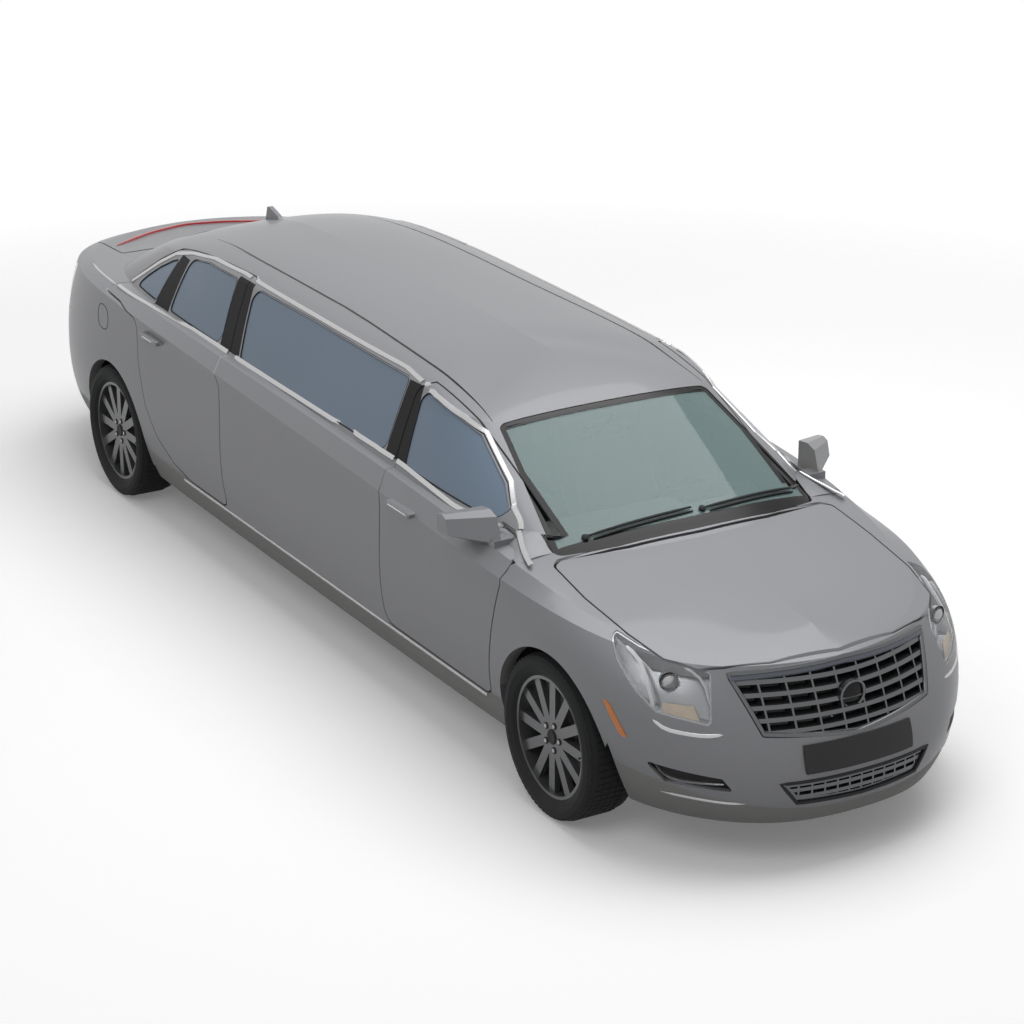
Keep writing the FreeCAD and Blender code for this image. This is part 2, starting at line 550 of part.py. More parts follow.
# Lamps: a bowl behind a clear lens at the front, red blocks at the rear.
lens_depth = size("lens_wall")
lens_back = lower_skin(lens_depth, lens_depth, gap)
lamp_front_face = lower_skin(lens_depth + seam, lens_depth + seam, gap)
bowl_front = lower_skin(gap, gap, gap)
bowl_back = lower_skin(size("wall") * 0.8, size("wall") * 0.8, gap)
headlamp_lenses = tidy(lamp_blocks.cut(lens_back))
bowl_walls = prism(places(headlamp_shares), headlamp_along, length / 2 + gap, headlamp_far, small / 2, -gap)
bowl = both(bowl_walls).cut(bowl_back)
headlamp_bowls = tidy(lamp_blocks.common(lamp_front_face).cut(bowl))
tail_lamps = tidy(tail_lamp_blocks)

# Grilles: bars across the opening, in the depth of the front wall.
bar = size("grille_bar")


def grille(table, columns, rows):
    opening = prism(whole(table), (1, 0, 0), length / 2 + gap, station(-0.5), small / 3)
    hole = prism(whole(table), (1, 0, 0), length / 2 + gap, station(-0.5), small / 3, -bar)
    seat = prism(whole(table), (1, 0, 0), length / 2 + gap, station(-0.5), small / 3, -seam)
    box = seat.BoundBox
    bars = []
    for i in range(1, columns):
        y = box.YMin + (box.YMax - box.YMin) * i / columns
        bars.append(block((station(-0.5), y - bar / 4, box.ZMin), (reach, y + bar / 4, box.ZMax)))
    for i in range(1, rows):
        z = box.ZMin + (box.ZMax - box.ZMin) * i / rows
        bars.append(block((station(-0.5), box.YMin, z - bar / 2), (reach, box.YMax, z + bar / 2)))
    mesh = seat.common(bars[0].multiFuse(bars[1:])).fuse(seat.cut(hole))
    front = lower_skin(size("grille_set_back"), size("grille_set_back"), gap)
    back = lower_skin(size("wall") * 0.7, size("wall") * 0.7, gap)
    return opening, tidy(mesh.common(front).cut(back).cut(bonnet_hole))


grille_opening, grille_upper = grille(grille_shares, 9, 6)
low_opening, grille_lower = grille(low_grille_shares, 12, 3)
fog_opening = both(prism(places(fog_shares), (1, -0.75, 0), length / 2 + gap, station(-0.3), gap))
fog_seat = both(prism(places(fog_shares), (1, -0.75, 0), length / 2 + gap, station(-0.3), gap, -seam))
fog_front = lower_skin(size("wall") * 0.4, size("wall") * 0.4, gap)
fog_back = lower_skin(size("wall") * 0.9, size("wall") * 0.9, gap)
fog_recess = tidy(fog_seat.common(fog_front).cut(fog_back))
bumper_front = tidy(cut(bumper_front, grille_opening, low_opening, fog_opening))


# Wheels: a tyre on a spoked rim with its brake disc; the spindle runs in the hub.
def ring(outer_radius, inner_radius, inside, outside, axle):
    start = Vector(axle, -outside, size("tyre_radius"))
    solid = Part.makeCylinder(outer_radius, outside - inside, start, Vector(0, 1, 0))
    return solid.cut(Part.makeCylinder(inner_radius, outside - inside, start, Vector(0, 1, 0))) if inner_radius else solid


def turned(profile_shares, radius, width, axle):
    points = [Vector(axle, -size("track_half") - w * width, size("tyre_radius") + r * radius) for r, w in profile_shares]
    face = Part.Face(Part.makePolygon(points + points[:1]))
    return face.revolve(Vector(axle, 0, size("tyre_radius")), Vector(0, 1, 0), 360)


tyre_shares = [
    (0.745, -0.40), (0.79, -0.46), (0.87, -0.5), (0.94, -0.48), (0.985, -0.42), (1, -0.34),
    (1, 0.34), (0.985, 0.42), (0.94, 0.48), (0.87, 0.5), (0.79, 0.46), (0.745, 0.40),
]


def tyre(axle):
    return turned(tyre_shares, size("tyre_radius"), size("tyre_width"), axle)


kingpin = size("track_half") - size("kingpin_offset")


def rim(axle):
    track = size("track_half")
    half = size("tyre_width") * 0.40
    outer_radius = size("tyre_radius") * 0.745 - seam
    barrel = ring(outer_radius, outer_radius - size("rim_lip"), track - half, track + half, axle)
    hub_radius = size("hub_radius")
    face_out = track + half * 0.85
    face_in = face_out - size("spoke_depth")
    hub_in = kingpin + size("upright_radius") + gap
    hub = ring(hub_radius, size("spindle_radius") + size("running_gap"), hub_in, face_out, axle)
    cap = ring(size("spindle_radius") * 1.2, 0, face_in, face_out, axle)
    disc = ring(size("disc_radius"), size("spindle_radius") + size("running_gap"),
                hub_in, hub_in + size("disc_wall"), axle)
    spokes = []
    count = 12
    for i in range(count):
        spoke = block((axle - size("spoke_width") / 2, -face_out, size("tyre_radius") + hub_radius * 0.9),
                      (axle + size("spoke_width") / 2, -face_in, size("tyre_radius") + outer_radius - size("rim_lip") / 2))
        spoke.rotate(Vector(axle, 0, size("tyre_radius")), Vector(0, 1, 0), 360 / count * i)
        spokes.append(spoke)
    solid = barrel.multiFuse([hub, disc] + spokes)
    face_disc = ring(hub_radius * 0.95, 0, face_in, face_out - seam, axle)
    return tidy(solid.fuse(face_disc.fuse(cap)))


spindle_end = size("track_half") + size("tyre_width") * 0.40 * 0.85 - size("spoke_depth") - 1 * seam
wheel_height = size("tyre_radius")
spindle = ring(size("spindle_radius"), 0, kingpin, spindle_end, front_axle)
upright = Part.makeCylinder(size("upright_radius"), size("upright_height"),
                            Vector(front_axle, -kingpin, wheel_height - size("upright_height") / 2))
caliper = block((front_axle - size("disc_radius") - seam, -kingpin + size("upright_radius") * 0, wheel_height - size("disc_wall")),
                (front_axle, -kingpin + size("upright_radius") * 0.8, wheel_height + size("disc_wall")))
knuckle_right = tidy(upright.fuse(spindle).fuse(caliper))

# Chassis: subframe, rear axle, engine, exhaust and tank.
arm_top = wheel_height - size("upright_height") / 2 - seam
arm_low = arm_top - size("arm_height")
eye = Part.makeCylinder(size("upright_radius"), size("arm_height"), Vector(front_axle, -kingpin, arm_low))
arm = block((front_axle - size("arm_width") / 2, -kingpin, arm_low), (front_axle + size("arm_width") / 2, 0, arm_top))
strut_low = wheel_height + size("upright_height") / 2 + seam
strut = Part.makeCylinder(size("upright_radius") * 0.8, size("arm_height") * 1.2, Vector(front_axle, -kingpin, strut_low))
tower = block((front_axle - size("arm_width") / 2, -kingpin, strut_low + size("arm_height") * 0.2),
              (front_axle + size("arm_width") / 2, -size("rail_outer") + size("rail_width"), strut_low + size("arm_height")))
firewall_x = station(0.335)
rail = block((firewall_x + size("floor_wall") + seam, -size("rail_outer"), size("rail_low")),
             (station(-0.68), -size("rail_outer") + size("rail_width"), size("rail_low") + size("rail_height")))
post = block((front_axle - size("arm_width") / 2, -size("rail_outer"), arm_low),
             (front_axle + size("arm_width") / 2, -size("rail_outer") + size("rail_width"), strut_low + size("arm_height")))
half_frame = eye.multiFuse([arm, strut, tower, rail, post])
front_subframe = tidy(half_frame.fuse(mirrored(half_frame)))

engine = block((station(0.2), -size("engine_width") / 2, arm_top + seam),
               (station(0.2) + size("engine_length"), size("engine_width") / 2, arm_top + seam + size("engine_height")))

shaft = ring(size("spindle_radius"), 0, 0, spindle_end, rear_axle)
case = Part.makeSphere(size("disc_wall") * 4, Vector(rear_axle, 0, wheel_height))
post_height = size("boot_floor") - seam - wheel_height
rear_post = Part.makeCylinder(size("upright_radius"), post_height, Vector(rear_axle, -size("post_offset"), wheel_height))
rear_spindles = tidy(shaft.multiFuse([mirrored(shaft), case, rear_post, mirrored(rear_post)]))

tail_pipe_y = half_width * 0.55
muffler = block((station(3.72), -half_width * 0.62, size("muffler_low")),
                (station(3.53), -half_width * 0.25, size("muffler_low") + size("muffler_height")))
pipe_height = size("muffler_low") + size("muffler_height") / 2
tail_pipe = Part.makeCylinder(size("pipe_radius"), station(3.7) - station(3.97),
                              Vector(station(3.97), -tail_pipe_y, pipe_height), Vector(1, 0, 0))
tail_pipe_hole = Part.makeCylinder(size("pipe_radius") + gap, station(3.7) - station(4.1),
                                   Vector(station(4.1), -tail_pipe_y, pipe_height), Vector(1, 0, 0))
tail_bore = Part.makeCylinder(size("pipe_radius") - size("pipe_wall"), station(3.8) - station(3.97),
                              Vector(station(3.97), -tail_pipe_y, pipe_height), Vector(1, 0, 0))
hanger = block((station(3.62), -tail_pipe_y - size("pipe_radius"), pipe_height), (station(3.6), -tail_pipe_y, size("boot_floor") - seam))
right_exhaust = muffler.multiFuse([tail_pipe, hanger]).cut(tail_bore)
exhaust = both(right_exhaust)
bumper_rear = tidy(cut(bumper_rear, both(tail_pipe_hole)))

# Floor: flat through the cabin, stepped up over the rear axle and on under the boot.
floor_low = size("sill_height")
floor_top = floor_low + size("floor_wall")
boot_floor_low = size("boot_floor")
boot_floor_top = boot_floor_low + size("floor_wall")
cabin = lower_skin(size("wall") + seam, size("wall") + seam, size("overrun") / 4)
step_x = station(2.66)
boot_end = station(3.87)
floor_blocks = [
    block((firewall_x, -half_width, floor_low), (step_x, half_width, floor_top)),
    block((step_x + size("floor_wall"), -half_width, floor_low), (step_x, half_width, boot_floor_top)),
    block((step_x, -half_width, boot_floor_low), (boot_end, half_width, boot_floor_top)),
]
floor = floor_blocks[0].multiFuse(floor_blocks[1:])
house_room = size("house_radius") + size("house_wall") + seam
rear_houses = both(arch(rear_axle, house_room, size("house_inner") - size("house_wall") - seam, half_width))
jack_shares = [(0.49, 0.756, 0), (2.55, 0.756, 0)]
pads = []
for pad_place in [place(shares) for shares in jack_shares]:
    reach_out = size("jack_pad") / 2
    pads.append(block((pad_place.x - reach_out, pad_place.y - reach_out, floor_low - size("jack_drop")),
                      (pad_place.x + reach_out, pad_place.y + reach_out, floor_low + seam)))
floor_pan = tidy(cut(floor.common(cabin), rear_houses, doors).multiFuse(pads + [mirrored(pad) for pad in pads]))

liners = []
for axle in (front_axle, rear_axle):
    inside, outside = size("house_inner") - size("house_wall"), half_width * 0.9
    drum = arch(axle, size("house_radius") + size("house_wall"), inside, outside)
    room = arch(axle, size("house_radius"), size("house_inner"), outside + gap)
    lowest = wheel_height - size("house_wall")
    liner = drum.cut(room).common(block((-reach, -half_width, lowest), (reach, 0, height)))
    opening = block((axle - size("arm_width"), -size("house_inner") - gap, lowest - gap),
                    (axle + size("arm_width"), -inside + gap, wheel_height + size("upright_height")))
    liners.append(liner.cut(opening).common(cabin))
wheel_liners_front, wheel_liners_rear = both(liners[0]), both(liners[1])

firewall_half = half_width * 0.77
firewall = block((firewall_x, -firewall_half, floor_top + seam), (firewall_x + size("floor_wall"), firewall_half, height * 0.62))
house_front = both(arch(front_axle, house_room, size("house_inner") - size("house_wall") - seam, half_width))
firewall = tidy(firewall.common(cabin).cut(house_front))

seat_back_x = station(2.93)
bulkhead = block((seat_back_x - size("floor_wall"), -half_width, boot_floor_top + seam), (seat_back_x, half_width, height * 0.66))
shelf = block((station(3.28), -half_width * 0.72, height * 0.66), (seat_back_x, half_width * 0.72, height * 0.66 + size("floor_wall") / 2))
rear_bulkhead = tidy(bulkhead.fuse(shelf).common(cabin).cut(rear_houses))


# Interior: dashboard, seats, cabinet.
def pad(low, high, radius):
    solid = block(low, high)
    return solid.makeChamfer(radius * 0.6, solid.Edges)


dash_low, dash_top = height * 0.40, height * 0.62
dash_profile = [(0, 0), (0, 1), (0.75, 1), (1, 0.75), (0.9, 0.35), (0.45, 0)]
dash_depth = size("dash_depth")
dash_points = [Vector(firewall_x - seam - a * dash_depth, -size("dash_half"), dash_low + b * (dash_top - dash_low))
               for a, b in dash_profile]
dashboard = Part.Face(Part.makePolygon(dash_points + dash_points[:1])).extrude(Vector(0, 2 * size("dash_half"), 0))
console = block((firewall_x - seam - dash_depth * 0.3, -size("console_width") / 2, floor_top + seam),
                (station(0.85), size("console_width") / 2, height * 0.36))
stack = block((firewall_x - seam - dash_depth * 0.3, -size("console_width") / 2, floor_top + seam),
              (firewall_x - seam - dash_depth * 0.8, size("console_width") / 2, height * 0.45))
dashboard = tidy(dashboard.multiFuse([console, stack]))
wheel_y = size("seat_offset")
wheel_centre = Vector(firewall_x - dash_depth - size("column_length"), wheel_y, height * 0.535)
column_lean = Vector(-math.cos(math.radians(size("column_angle"))), 0, math.sin(math.radians(size("column_angle"))))
column = Part.makeCylinder(size("column_radius"), size("column_length") * 1.6,
                           wheel_centre - column_lean * (size("column_length") * 1.6 + size("hub_gap")), column_lean)
dashboard = tidy(dashboard.fuse(column))
grip_points = [(math.cos(math.radians(turn)), math.sin(math.radians(turn))) for turn in range(0, 360, 60)]
grip_ring = [Vector(size("wheel_radius") + size("wheel_grip") * a, 0, size("wheel_grip") * b) for a, b in grip_points]
torus = Part.Face(Part.makePolygon(grip_ring + grip_ring[:1])).revolve(Vector(), Vector(0, 0, 1), 360)
torus.rotate(Vector(), Vector(0, 1, 0), size("column_angle") - 90)
torus.translate(wheel_centre)
boss = Part.makeCylinder(size("column_radius") * 1.6, size("column_radius"), wheel_centre, column_lean)
spoke_bar = Part.makeBox(size("wheel_grip"), 2 * size("wheel_radius"), size("column_radius"))
spoke_bar.translate(Vector(-size("wheel_grip") / 2, -size("wheel_radius"), -size("column_radius") / 2))
spoke_down = Part.makeBox(size("wheel_grip"), size("column_radius"), size("wheel_radius"))
spoke_down.translate(Vector(-size("wheel_grip") / 2, -size("column_radius") / 2, -size("wheel_radius")))
wheel_spokes = spoke_bar.fuse(spoke_down)
wheel_spokes.rotate(Vector(), Vector(0, 1, 0), size("column_angle"))
wheel_spokes.translate(wheel_centre + column_lean * size("column_radius") / 2)
shaft_length = size("column_length")
shaft_bore = Part.makeCylinder(size("shaft_radius") + size("shaft_gap"), shaft_length + size("hub_gap"),
                               wheel_centre - column_lean * (shaft_length + size("hub_gap")), column_lean)
steering_shaft = Part.makeCylinder(size("shaft_radius"), shaft_length,
                                   wheel_centre - column_lean * (shaft_length - seam), column_lean)
dashboard = tidy(dashboard.cut(shaft_bore))
steering_wheel = tidy(torus.multiFuse([boss, wheel_spokes, steering_shaft]))


def seat(front_x, centre_y, width):
    low = floor_top + seam
    cushion_top = floor_top + size("cushion_height")
    half = width / 2
    depth = size("cushion_depth")
    radius = size("seat_radius")
    cushion = pad((front_x - depth, centre_y - half, low + size("plinth")), (front_x, centre_y + half, cushion_top), radius)
    base = block((front_x - depth * 0.8, centre_y - half * 0.7, low), (front_x - depth * 0.2, centre_y + half * 0.7, low + size("plinth") + radius))
    back = pad((front_x - depth - size("back_depth") * 0.5, centre_y - half, low + size("plinth") + radius),
               (front_x - depth + size("back_depth") * 0.5, centre_y + half, cushion_top + size("back_height")), radius)
    back.rotate(Vector(front_x - depth, 0, cushion_top), Vector(0, 1, 0), -size("back_angle"))
    head = pad((front_x - depth - size("back_height") * 0.42 - size("back_depth") * 0.3, centre_y - half * 0.5, cushion_top + size("back_height") - radius * 1.5),
               (front_x - depth - size("back_height") * 0.42 + size("back_depth") * 0.4, centre_y + half * 0.5, cushion_top + size("back_height") + size("head_height")), radius)
    return cushion.multiFuse([base, back, head])


front_seat = seat(station(0.68), size("seat_offset"), size("seat_width"))
front_seats = tidy(both(front_seat))
rear_seats = tidy(seat(step_x + size("cushion_depth") * 1.34, 0, size("bench_width")))
cabinet = block((station(1.62), -size("bench_width") / 2, floor_top + seam), (station(1.2), -size("bench_width") / 2 + size("cabinet_depth"), height * 0.55))
tank = block((station(3.5), -size("tank_half"), size("muffler_low")), (station(3.33), size("tank_half"), boot_floor_low - seam))

# Outside: handles, mirrors, wipers and the aerial fin.
mirror_inner, mirror_outer = places(mirror_inner_shares), places(mirror_outer_shares)
mirror_head = Part.makeLoft([Part.makePolygon(ring_points + ring_points[:1]) for ring_points in (mirror_inner, mirror_outer)], True, True)
foot_low, foot_top = mirror_inner[-1], mirror_inner[0]
mirror_foot = block((foot_top.x, foot_low.y - size("mirror_foot") / 2, foot_low.z + seam),
                    (foot_top.x - size("mirror_foot"), -half_width * 0.8, foot_top.z + size("mirror_foot") / 4))
mirror_right = tidy(mirror_head.fuse(mirror_foot).cut(outer))


def handle(share_front, share_rear, rise):
    low = (station(share_rear), -half_width * 0.985 - size("handle_depth"), height * rise)
    high = (station(share_front), -half_width * 0.94, height * rise + size("handle_height"))
    return pad(low, high, size("handle_height") * 0.4)


door_front_right = tidy(door_front_right.fuse(handle(0.77, 0.92, 0.64)))
door_rear_right = tidy(door_rear_right.fuse(handle(2.52, 2.66, 0.675)))


# Door hinges: a strap fixed to the pillar runs in along the door's inner side to a pin in the door's front edge.
room = size("hinge_room")


def upright_hinge(pin_shares, end_share, door, pillar):
    pin = places([pin_shares])[0]
    half, strap, reach_in = size("strap_height") / 2, size("strap_wall"), size("strap_reach")
    low, high, end = pin.z - half, pin.z + half, station(end_share)
    barrel = Part.makeCylinder(size("barrel_radius"), 2 * half, Vector(pin.x, pin.y, low))
    leg = block((pin.x - strap / 2, pin.y, low), (pin.x + strap / 2, pin.y + reach_in, high))
    run = block((pin.x - strap / 2, pin.y + reach_in - strap, low), (end, pin.y + reach_in, high))
    foot = block((end - size("strap_pad"), pin.y + size("wall") * 0.57, low), (end, pin.y + reach_in, high))
    bore = Part.makeCylinder(size("hinge_pin") + size("running_gap"), 2 * half, Vector(pin.x, pin.y, low))
    strap_arm = cut(barrel.multiFuse([leg, run, foot]), bore)
    pocket = block((pin.x - strap / 2 - room, pin.y - size("barrel_radius") - room / 2, low - room),
                   (pin.x + 2 * reach_in, pin.y + 2 * reach_in, high + room))
    shaft = Part.makeCylinder(size("hinge_pin"), 2 * half + 4 * room, Vector(pin.x, pin.y, low - 2 * room))
    return tidy(door.cut(pocket)).fuse(shaft), tidy(pillar.fuse(strap_arm))


for pin_shares, end_share in hinge_front_shares:
    door_front_right, fenders = upright_hinge(pin_shares, end_share, door_front_right, fenders)
    mirrored_fenders = upright_hinge(pin_shares, end_share, door_front_right, mirrored(fenders))[1]
    fenders = mirrored(mirrored_fenders)
for pin_shares, end_share in hinge_rear_shares:
    door_rear_right, side_right = upright_hinge(pin_shares, end_share, door_rear_right, side_right)


# Lid hinges: the bonnet's lugs turn on pins from the cowl; the boot lid turns on straps from the scuttle.
def rod(radius, x, z, y_from, y_to):
    return Part.makeCylinder(radius, abs(y_to - y_from), Vector(x, min(y_from, y_to), z), Vector(0, 1, 0))


strap_relief = size("lid_drop") / 2
bonnet_pin = place((0.208, 0.66, 0.6467))
lug_out, lug_in = -half_width * 0.68, -half_width * 0.65
lug_radius, lid_pin = size("lid_barrel"), size("lid_pin")
lug = rod(lug_radius, bonnet_pin.x, bonnet_pin.z, lug_out, lug_in).fuse(
    block((bonnet_pin.x, lug_out, bonnet_pin.z - lug_radius), (bonnet_pin.x + 6 * lug_radius, lug_in, bonnet_pin.z)))
lug = lug.cut(rod(lid_pin + size("running_gap"), bonnet_pin.x, bonnet_pin.z, lug_out, lug_in))
bonnet = tidy(bonnet.multiFuse([lug, mirrored(lug)]))
lug_room = rod(lug_radius + room, bonnet_pin.x, bonnet_pin.z, lug_out - room, lug_in + room)
bonnet_rod = rod(lid_pin, bonnet_pin.x, bonnet_pin.z, -half_width * 0.76, lug_in + 2 * room)
side_right = tidy(side_right.cut(lug_room))
fenders = tidy(cut(fenders, both(lug_room)).multiFuse([bonnet_rod, mirrored(bonnet_rod)]))

# The cowl's corners are relieved where the raised bonnet comes down to them.
raised = []
for share_of_lift in (0.7, 0.85, 1):
    lifted = bonnet.copy()
    lifted.rotate(bonnet_pin, Vector(0, -1, 0), size("bonnet_lift") * share_of_lift)
    raised.append(lifted.translated(Vector(-room, 0, -room)).common(
        block((bonnet_pin.x - 3 * strap_relief, -half_width, bonnet_low), (bonnet_pin.x + strap_relief, half_width, height))))
fenders = tidy(cut(fenders, *raised))
side_right = tidy(cut(side_right, *raised))

boot_pin = place((3.516, 0.27, 0.7367))
strap_out, strap_in = -boot_pin.y - size("lid_strap") / 2, -boot_pin.y + size("lid_strap") / 2
strap, drop = size("strap_wall"), size("lid_drop")
boot_strap = rod(lug_radius, boot_pin.x, boot_pin.z, strap_out, strap_in).multiFuse([
    block((boot_pin.x - strap / 2, strap_out, boot_pin.z - drop), (boot_pin.x + strap / 2, strap_in, boot_pin.z)),
    block((boot_pin.x - strap / 2, strap_out, boot_pin.z - drop), (boot_pin.x + drop * 1.3, strap_in, boot_pin.z - drop + strap)),
    block((boot_pin.x + drop * 0.9, strap_out, boot_pin.z - drop), (boot_pin.x + drop * 1.3, strap_in, boot_pin.z - size("lid_strap") / 2))])
boot_strap = boot_strap.cut(rod(lid_pin + size("running_gap"), boot_pin.x, boot_pin.z, strap_out, strap_in))
boot_pocket = block((boot_pin.x - strap / 2 - room, strap_out - room, boot_low), (boot_pin.x + drop, strap_in + room, boot_pin.z + lug_radius + room / 2))
boot_rod = rod(lid_pin, boot_pin.x, boot_pin.z, strap_out - 3 * room, strap_in + 3 * room)
boot_lid = tidy(boot_lid.cut(both(boot_pocket))).multiFuse([boot_rod, mirrored(boot_rod)])
boot_lid = tidy(boot_lid)
scuttle = tidy(scuttle.multiFuse([boot_strap, mirrored(boot_strap)]))

hinge_front = door_front_shares[0]


# Every piece becomes an object of the document, named and labelled as its node.
def feature(name, shape):
    piece = doc.addObject("Part::Feature", name)
    piece.Label = name
    piece.Shape = shape
    return piece


def mirror_feature(name, source):
    piece = doc.addObject("Part::Mirroring", name)
    piece.Label = name
    piece.Source = source
    piece.Base = Vector()
    piece.Normal = Vector(0, 1, 0)
    return piece


pieces = [
    feature("floor_pan", floor_pan), feature("firewall", firewall), feature("rear_bulkhead", rear_bulkhead),
    feature("roof_panel", roof), feature("front_fenders", fenders), feature("front_bumper", bumper_front),
    feature("rear_bumper", bumper_rear), feature("rear_scuttle", scuttle), feature("windscreen", windscreen_pane),
    feature("rear_window", rear_window_pane), feature("side_glass", side_glass),
    feature("grille_upper", grille_upper), feature("grille_lower", grille_lower), feature("fog_recess", fog_recess),
    feature("headlamp_bowls", headlamp_bowls), feature("headlamp_lenses", headlamp_lenses),
    feature("tail_lamps", tail_lamps), feature("dashboard", dashboard), feature("front_seats", front_seats),
    feature("rear_seats", rear_seats), feature("bar_cabinet", cabinet), feature("engine_block", engine),
    feature("front_subframe", front_subframe), feature("rear_axle", rear_spindles), feature("exhaust", exhaust),
    feature("fuel_tank", tank), feature("wheel_liners_front", wheel_liners_front),
    feature("wheel_liners_rear", wheel_liners_rear), feature("bonnet", bonnet),
    feature("boot_lid", boot_lid), feature("steering_wheel", steering_wheel),
]
for stem, shape in (("side_panel", side_right), ("door_front", door_front_right), ("door_rear", door_rear_right),
                    ("glass_front", glass_front_right), ("glass_rear", glass_rear_right), ("mirror", mirror_right),
                    ("knuckle", knuckle_right)):
    right = feature(stem + "_right", shape)
    pieces += [right, mirror_feature(stem + "_left", right)]
for end, axle in (("front", front_axle), ("rear", rear_axle)):
    for stem, shape in (("tyre", tyre(axle)), ("rim", rim(axle))):
        right = feature("%s_%s_right" % (stem, end), shape)
        pieces += [right, mirror_feature("%s_%s_left" % (stem, end), right)]

doc.recompute()
for piece in doc.Objects:
    bad = [state for state in piece.State if state in ("Invalid", "Error")]
    if bad:
        raise RuntimeError("%s is %s" % (piece.Label, bad))
os.makedirs("parts", exist_ok=True)
for piece in pieces:
    if piece.Shape.isNull() or not piece.Shape.isValid():
        raise RuntimeError("%s has no valid shape" % piece.Label)
for piece in pieces:
    piece.Shape.exportStep("parts/%s.step" % piece.Label)
print("wrote", len(pieces), "pieces")
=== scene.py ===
import math

import bmesh
import bpy
from mathutils import Matrix, Vector
from mathutils.bvhtree import BVHTree


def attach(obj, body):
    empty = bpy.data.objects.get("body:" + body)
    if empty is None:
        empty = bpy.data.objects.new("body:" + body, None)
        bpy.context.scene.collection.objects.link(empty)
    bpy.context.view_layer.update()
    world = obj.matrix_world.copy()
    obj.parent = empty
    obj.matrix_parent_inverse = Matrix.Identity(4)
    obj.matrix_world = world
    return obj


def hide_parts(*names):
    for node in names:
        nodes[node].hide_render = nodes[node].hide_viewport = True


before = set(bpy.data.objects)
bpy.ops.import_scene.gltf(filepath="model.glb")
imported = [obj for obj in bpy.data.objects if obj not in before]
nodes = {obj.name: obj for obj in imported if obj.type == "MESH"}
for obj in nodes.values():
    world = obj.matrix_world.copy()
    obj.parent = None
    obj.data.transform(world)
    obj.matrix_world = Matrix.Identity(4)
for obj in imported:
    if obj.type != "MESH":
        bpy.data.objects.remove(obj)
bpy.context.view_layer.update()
scene = bpy.context.scene
print("frame loaded", len(nodes), "nodes")

# Places along the car are metres behind the front axle, which stands this far ahead of the middle.
frontAxle = 2.395
rearAxle = -2.045
axleHeight = 0.352
trackHalf = 0.787
sideIn, down, noseIn, tailIn = (0, 1, 0), (0, 0, -1), (-1, 0, 0), (1, 0, 0)
lampIn, glassIn = (-0.8, 0.6, 0), (-0.44, 0, -0.90)
onBody = ("body", "body")


def at(back, y, z):
    return Vector((frontAxle - back, y, z))


def places(spots):
    return [at(*spot) for spot in spots]


def add(tree, kind, inputs=None, **settings):
    # a node with its settings; an input takes a value or another node's socket
    node = tree.nodes.new(kind)
    for name, value in settings.items():
        setattr(node, name, value)
    for key, value in (inputs or {}).items():
        if isinstance(value, bpy.types.NodeSocket):
            tree.links.new(value, node.inputs[key])
        else:
            node.inputs[key].default_value = value
    return node


def calc(tree, operation, *values):
    return add(tree, "ShaderNodeMath", dict(enumerate(values)), operation=operation).outputs[0]


def remap(tree, value, low, high, start=0.0, end=1.0):
    inputs = {"Value": value, "From Min": start, "From Max": end, "To Min": low, "To Max": high}
    return add(tree, "ShaderNodeMapRange", inputs).outputs["Result"]


def separated(tree, output="Object"):
    coords = add(tree, "ShaderNodeTexCoord")
    return add(tree, "ShaderNodeSeparateXYZ", {0: coords.outputs[output]}).outputs


def length(tree, a, b):
    return calc(tree, "SQRT", calc(tree, "ADD", calc(tree, "MULTIPLY", a, a), calc(tree, "MULTIPLY", b, b)))


studio = {
    "eye": (11.7777, -6.5772, 5.5143), "yaw": 149.551, "pitch": 20.813, "lens": 103.54, "sensor": 36, "farthest": 200,
    "floorSeen": (0.96, 0.96, 0.96), "floorGives": (0.24, 0.24, 0.25), "skyStrength": 0.28,
    "floorReach": 60, "floorDrop": 0.004, "floorClear": 4.2, "floorGone": 7.5, "floorGlow": 0.14,
    "lamps": (("keyLight", (6, -7, 9), (0, 0, 0.6), 6, 190), ("fillLight", (-7, -8, 6), (-1, 0, 0.6), 7, 12),
              ("topLight", (0, 2, 10), (0, 0, 1), 9, 760)),
}


def seenRays(tree):
    # 1 for what the camera sees straight, in gloss or through glass
    path = add(tree, "ShaderNodeLightPath").outputs
    seen = calc(tree, "MAXIMUM", path["Is Camera Ray"], path["Is Glossy Ray"])
    return calc(tree, "MAXIMUM", seen, path["Is Transmission Ray"])


def aimed(thing, place, direction):
    thing.location = place
    thing.rotation_mode = "QUATERNION"
    thing.rotation_quaternion = Vector(direction).to_track_quat("-Z", "Y")
    scene.collection.objects.link(thing)
    return thing


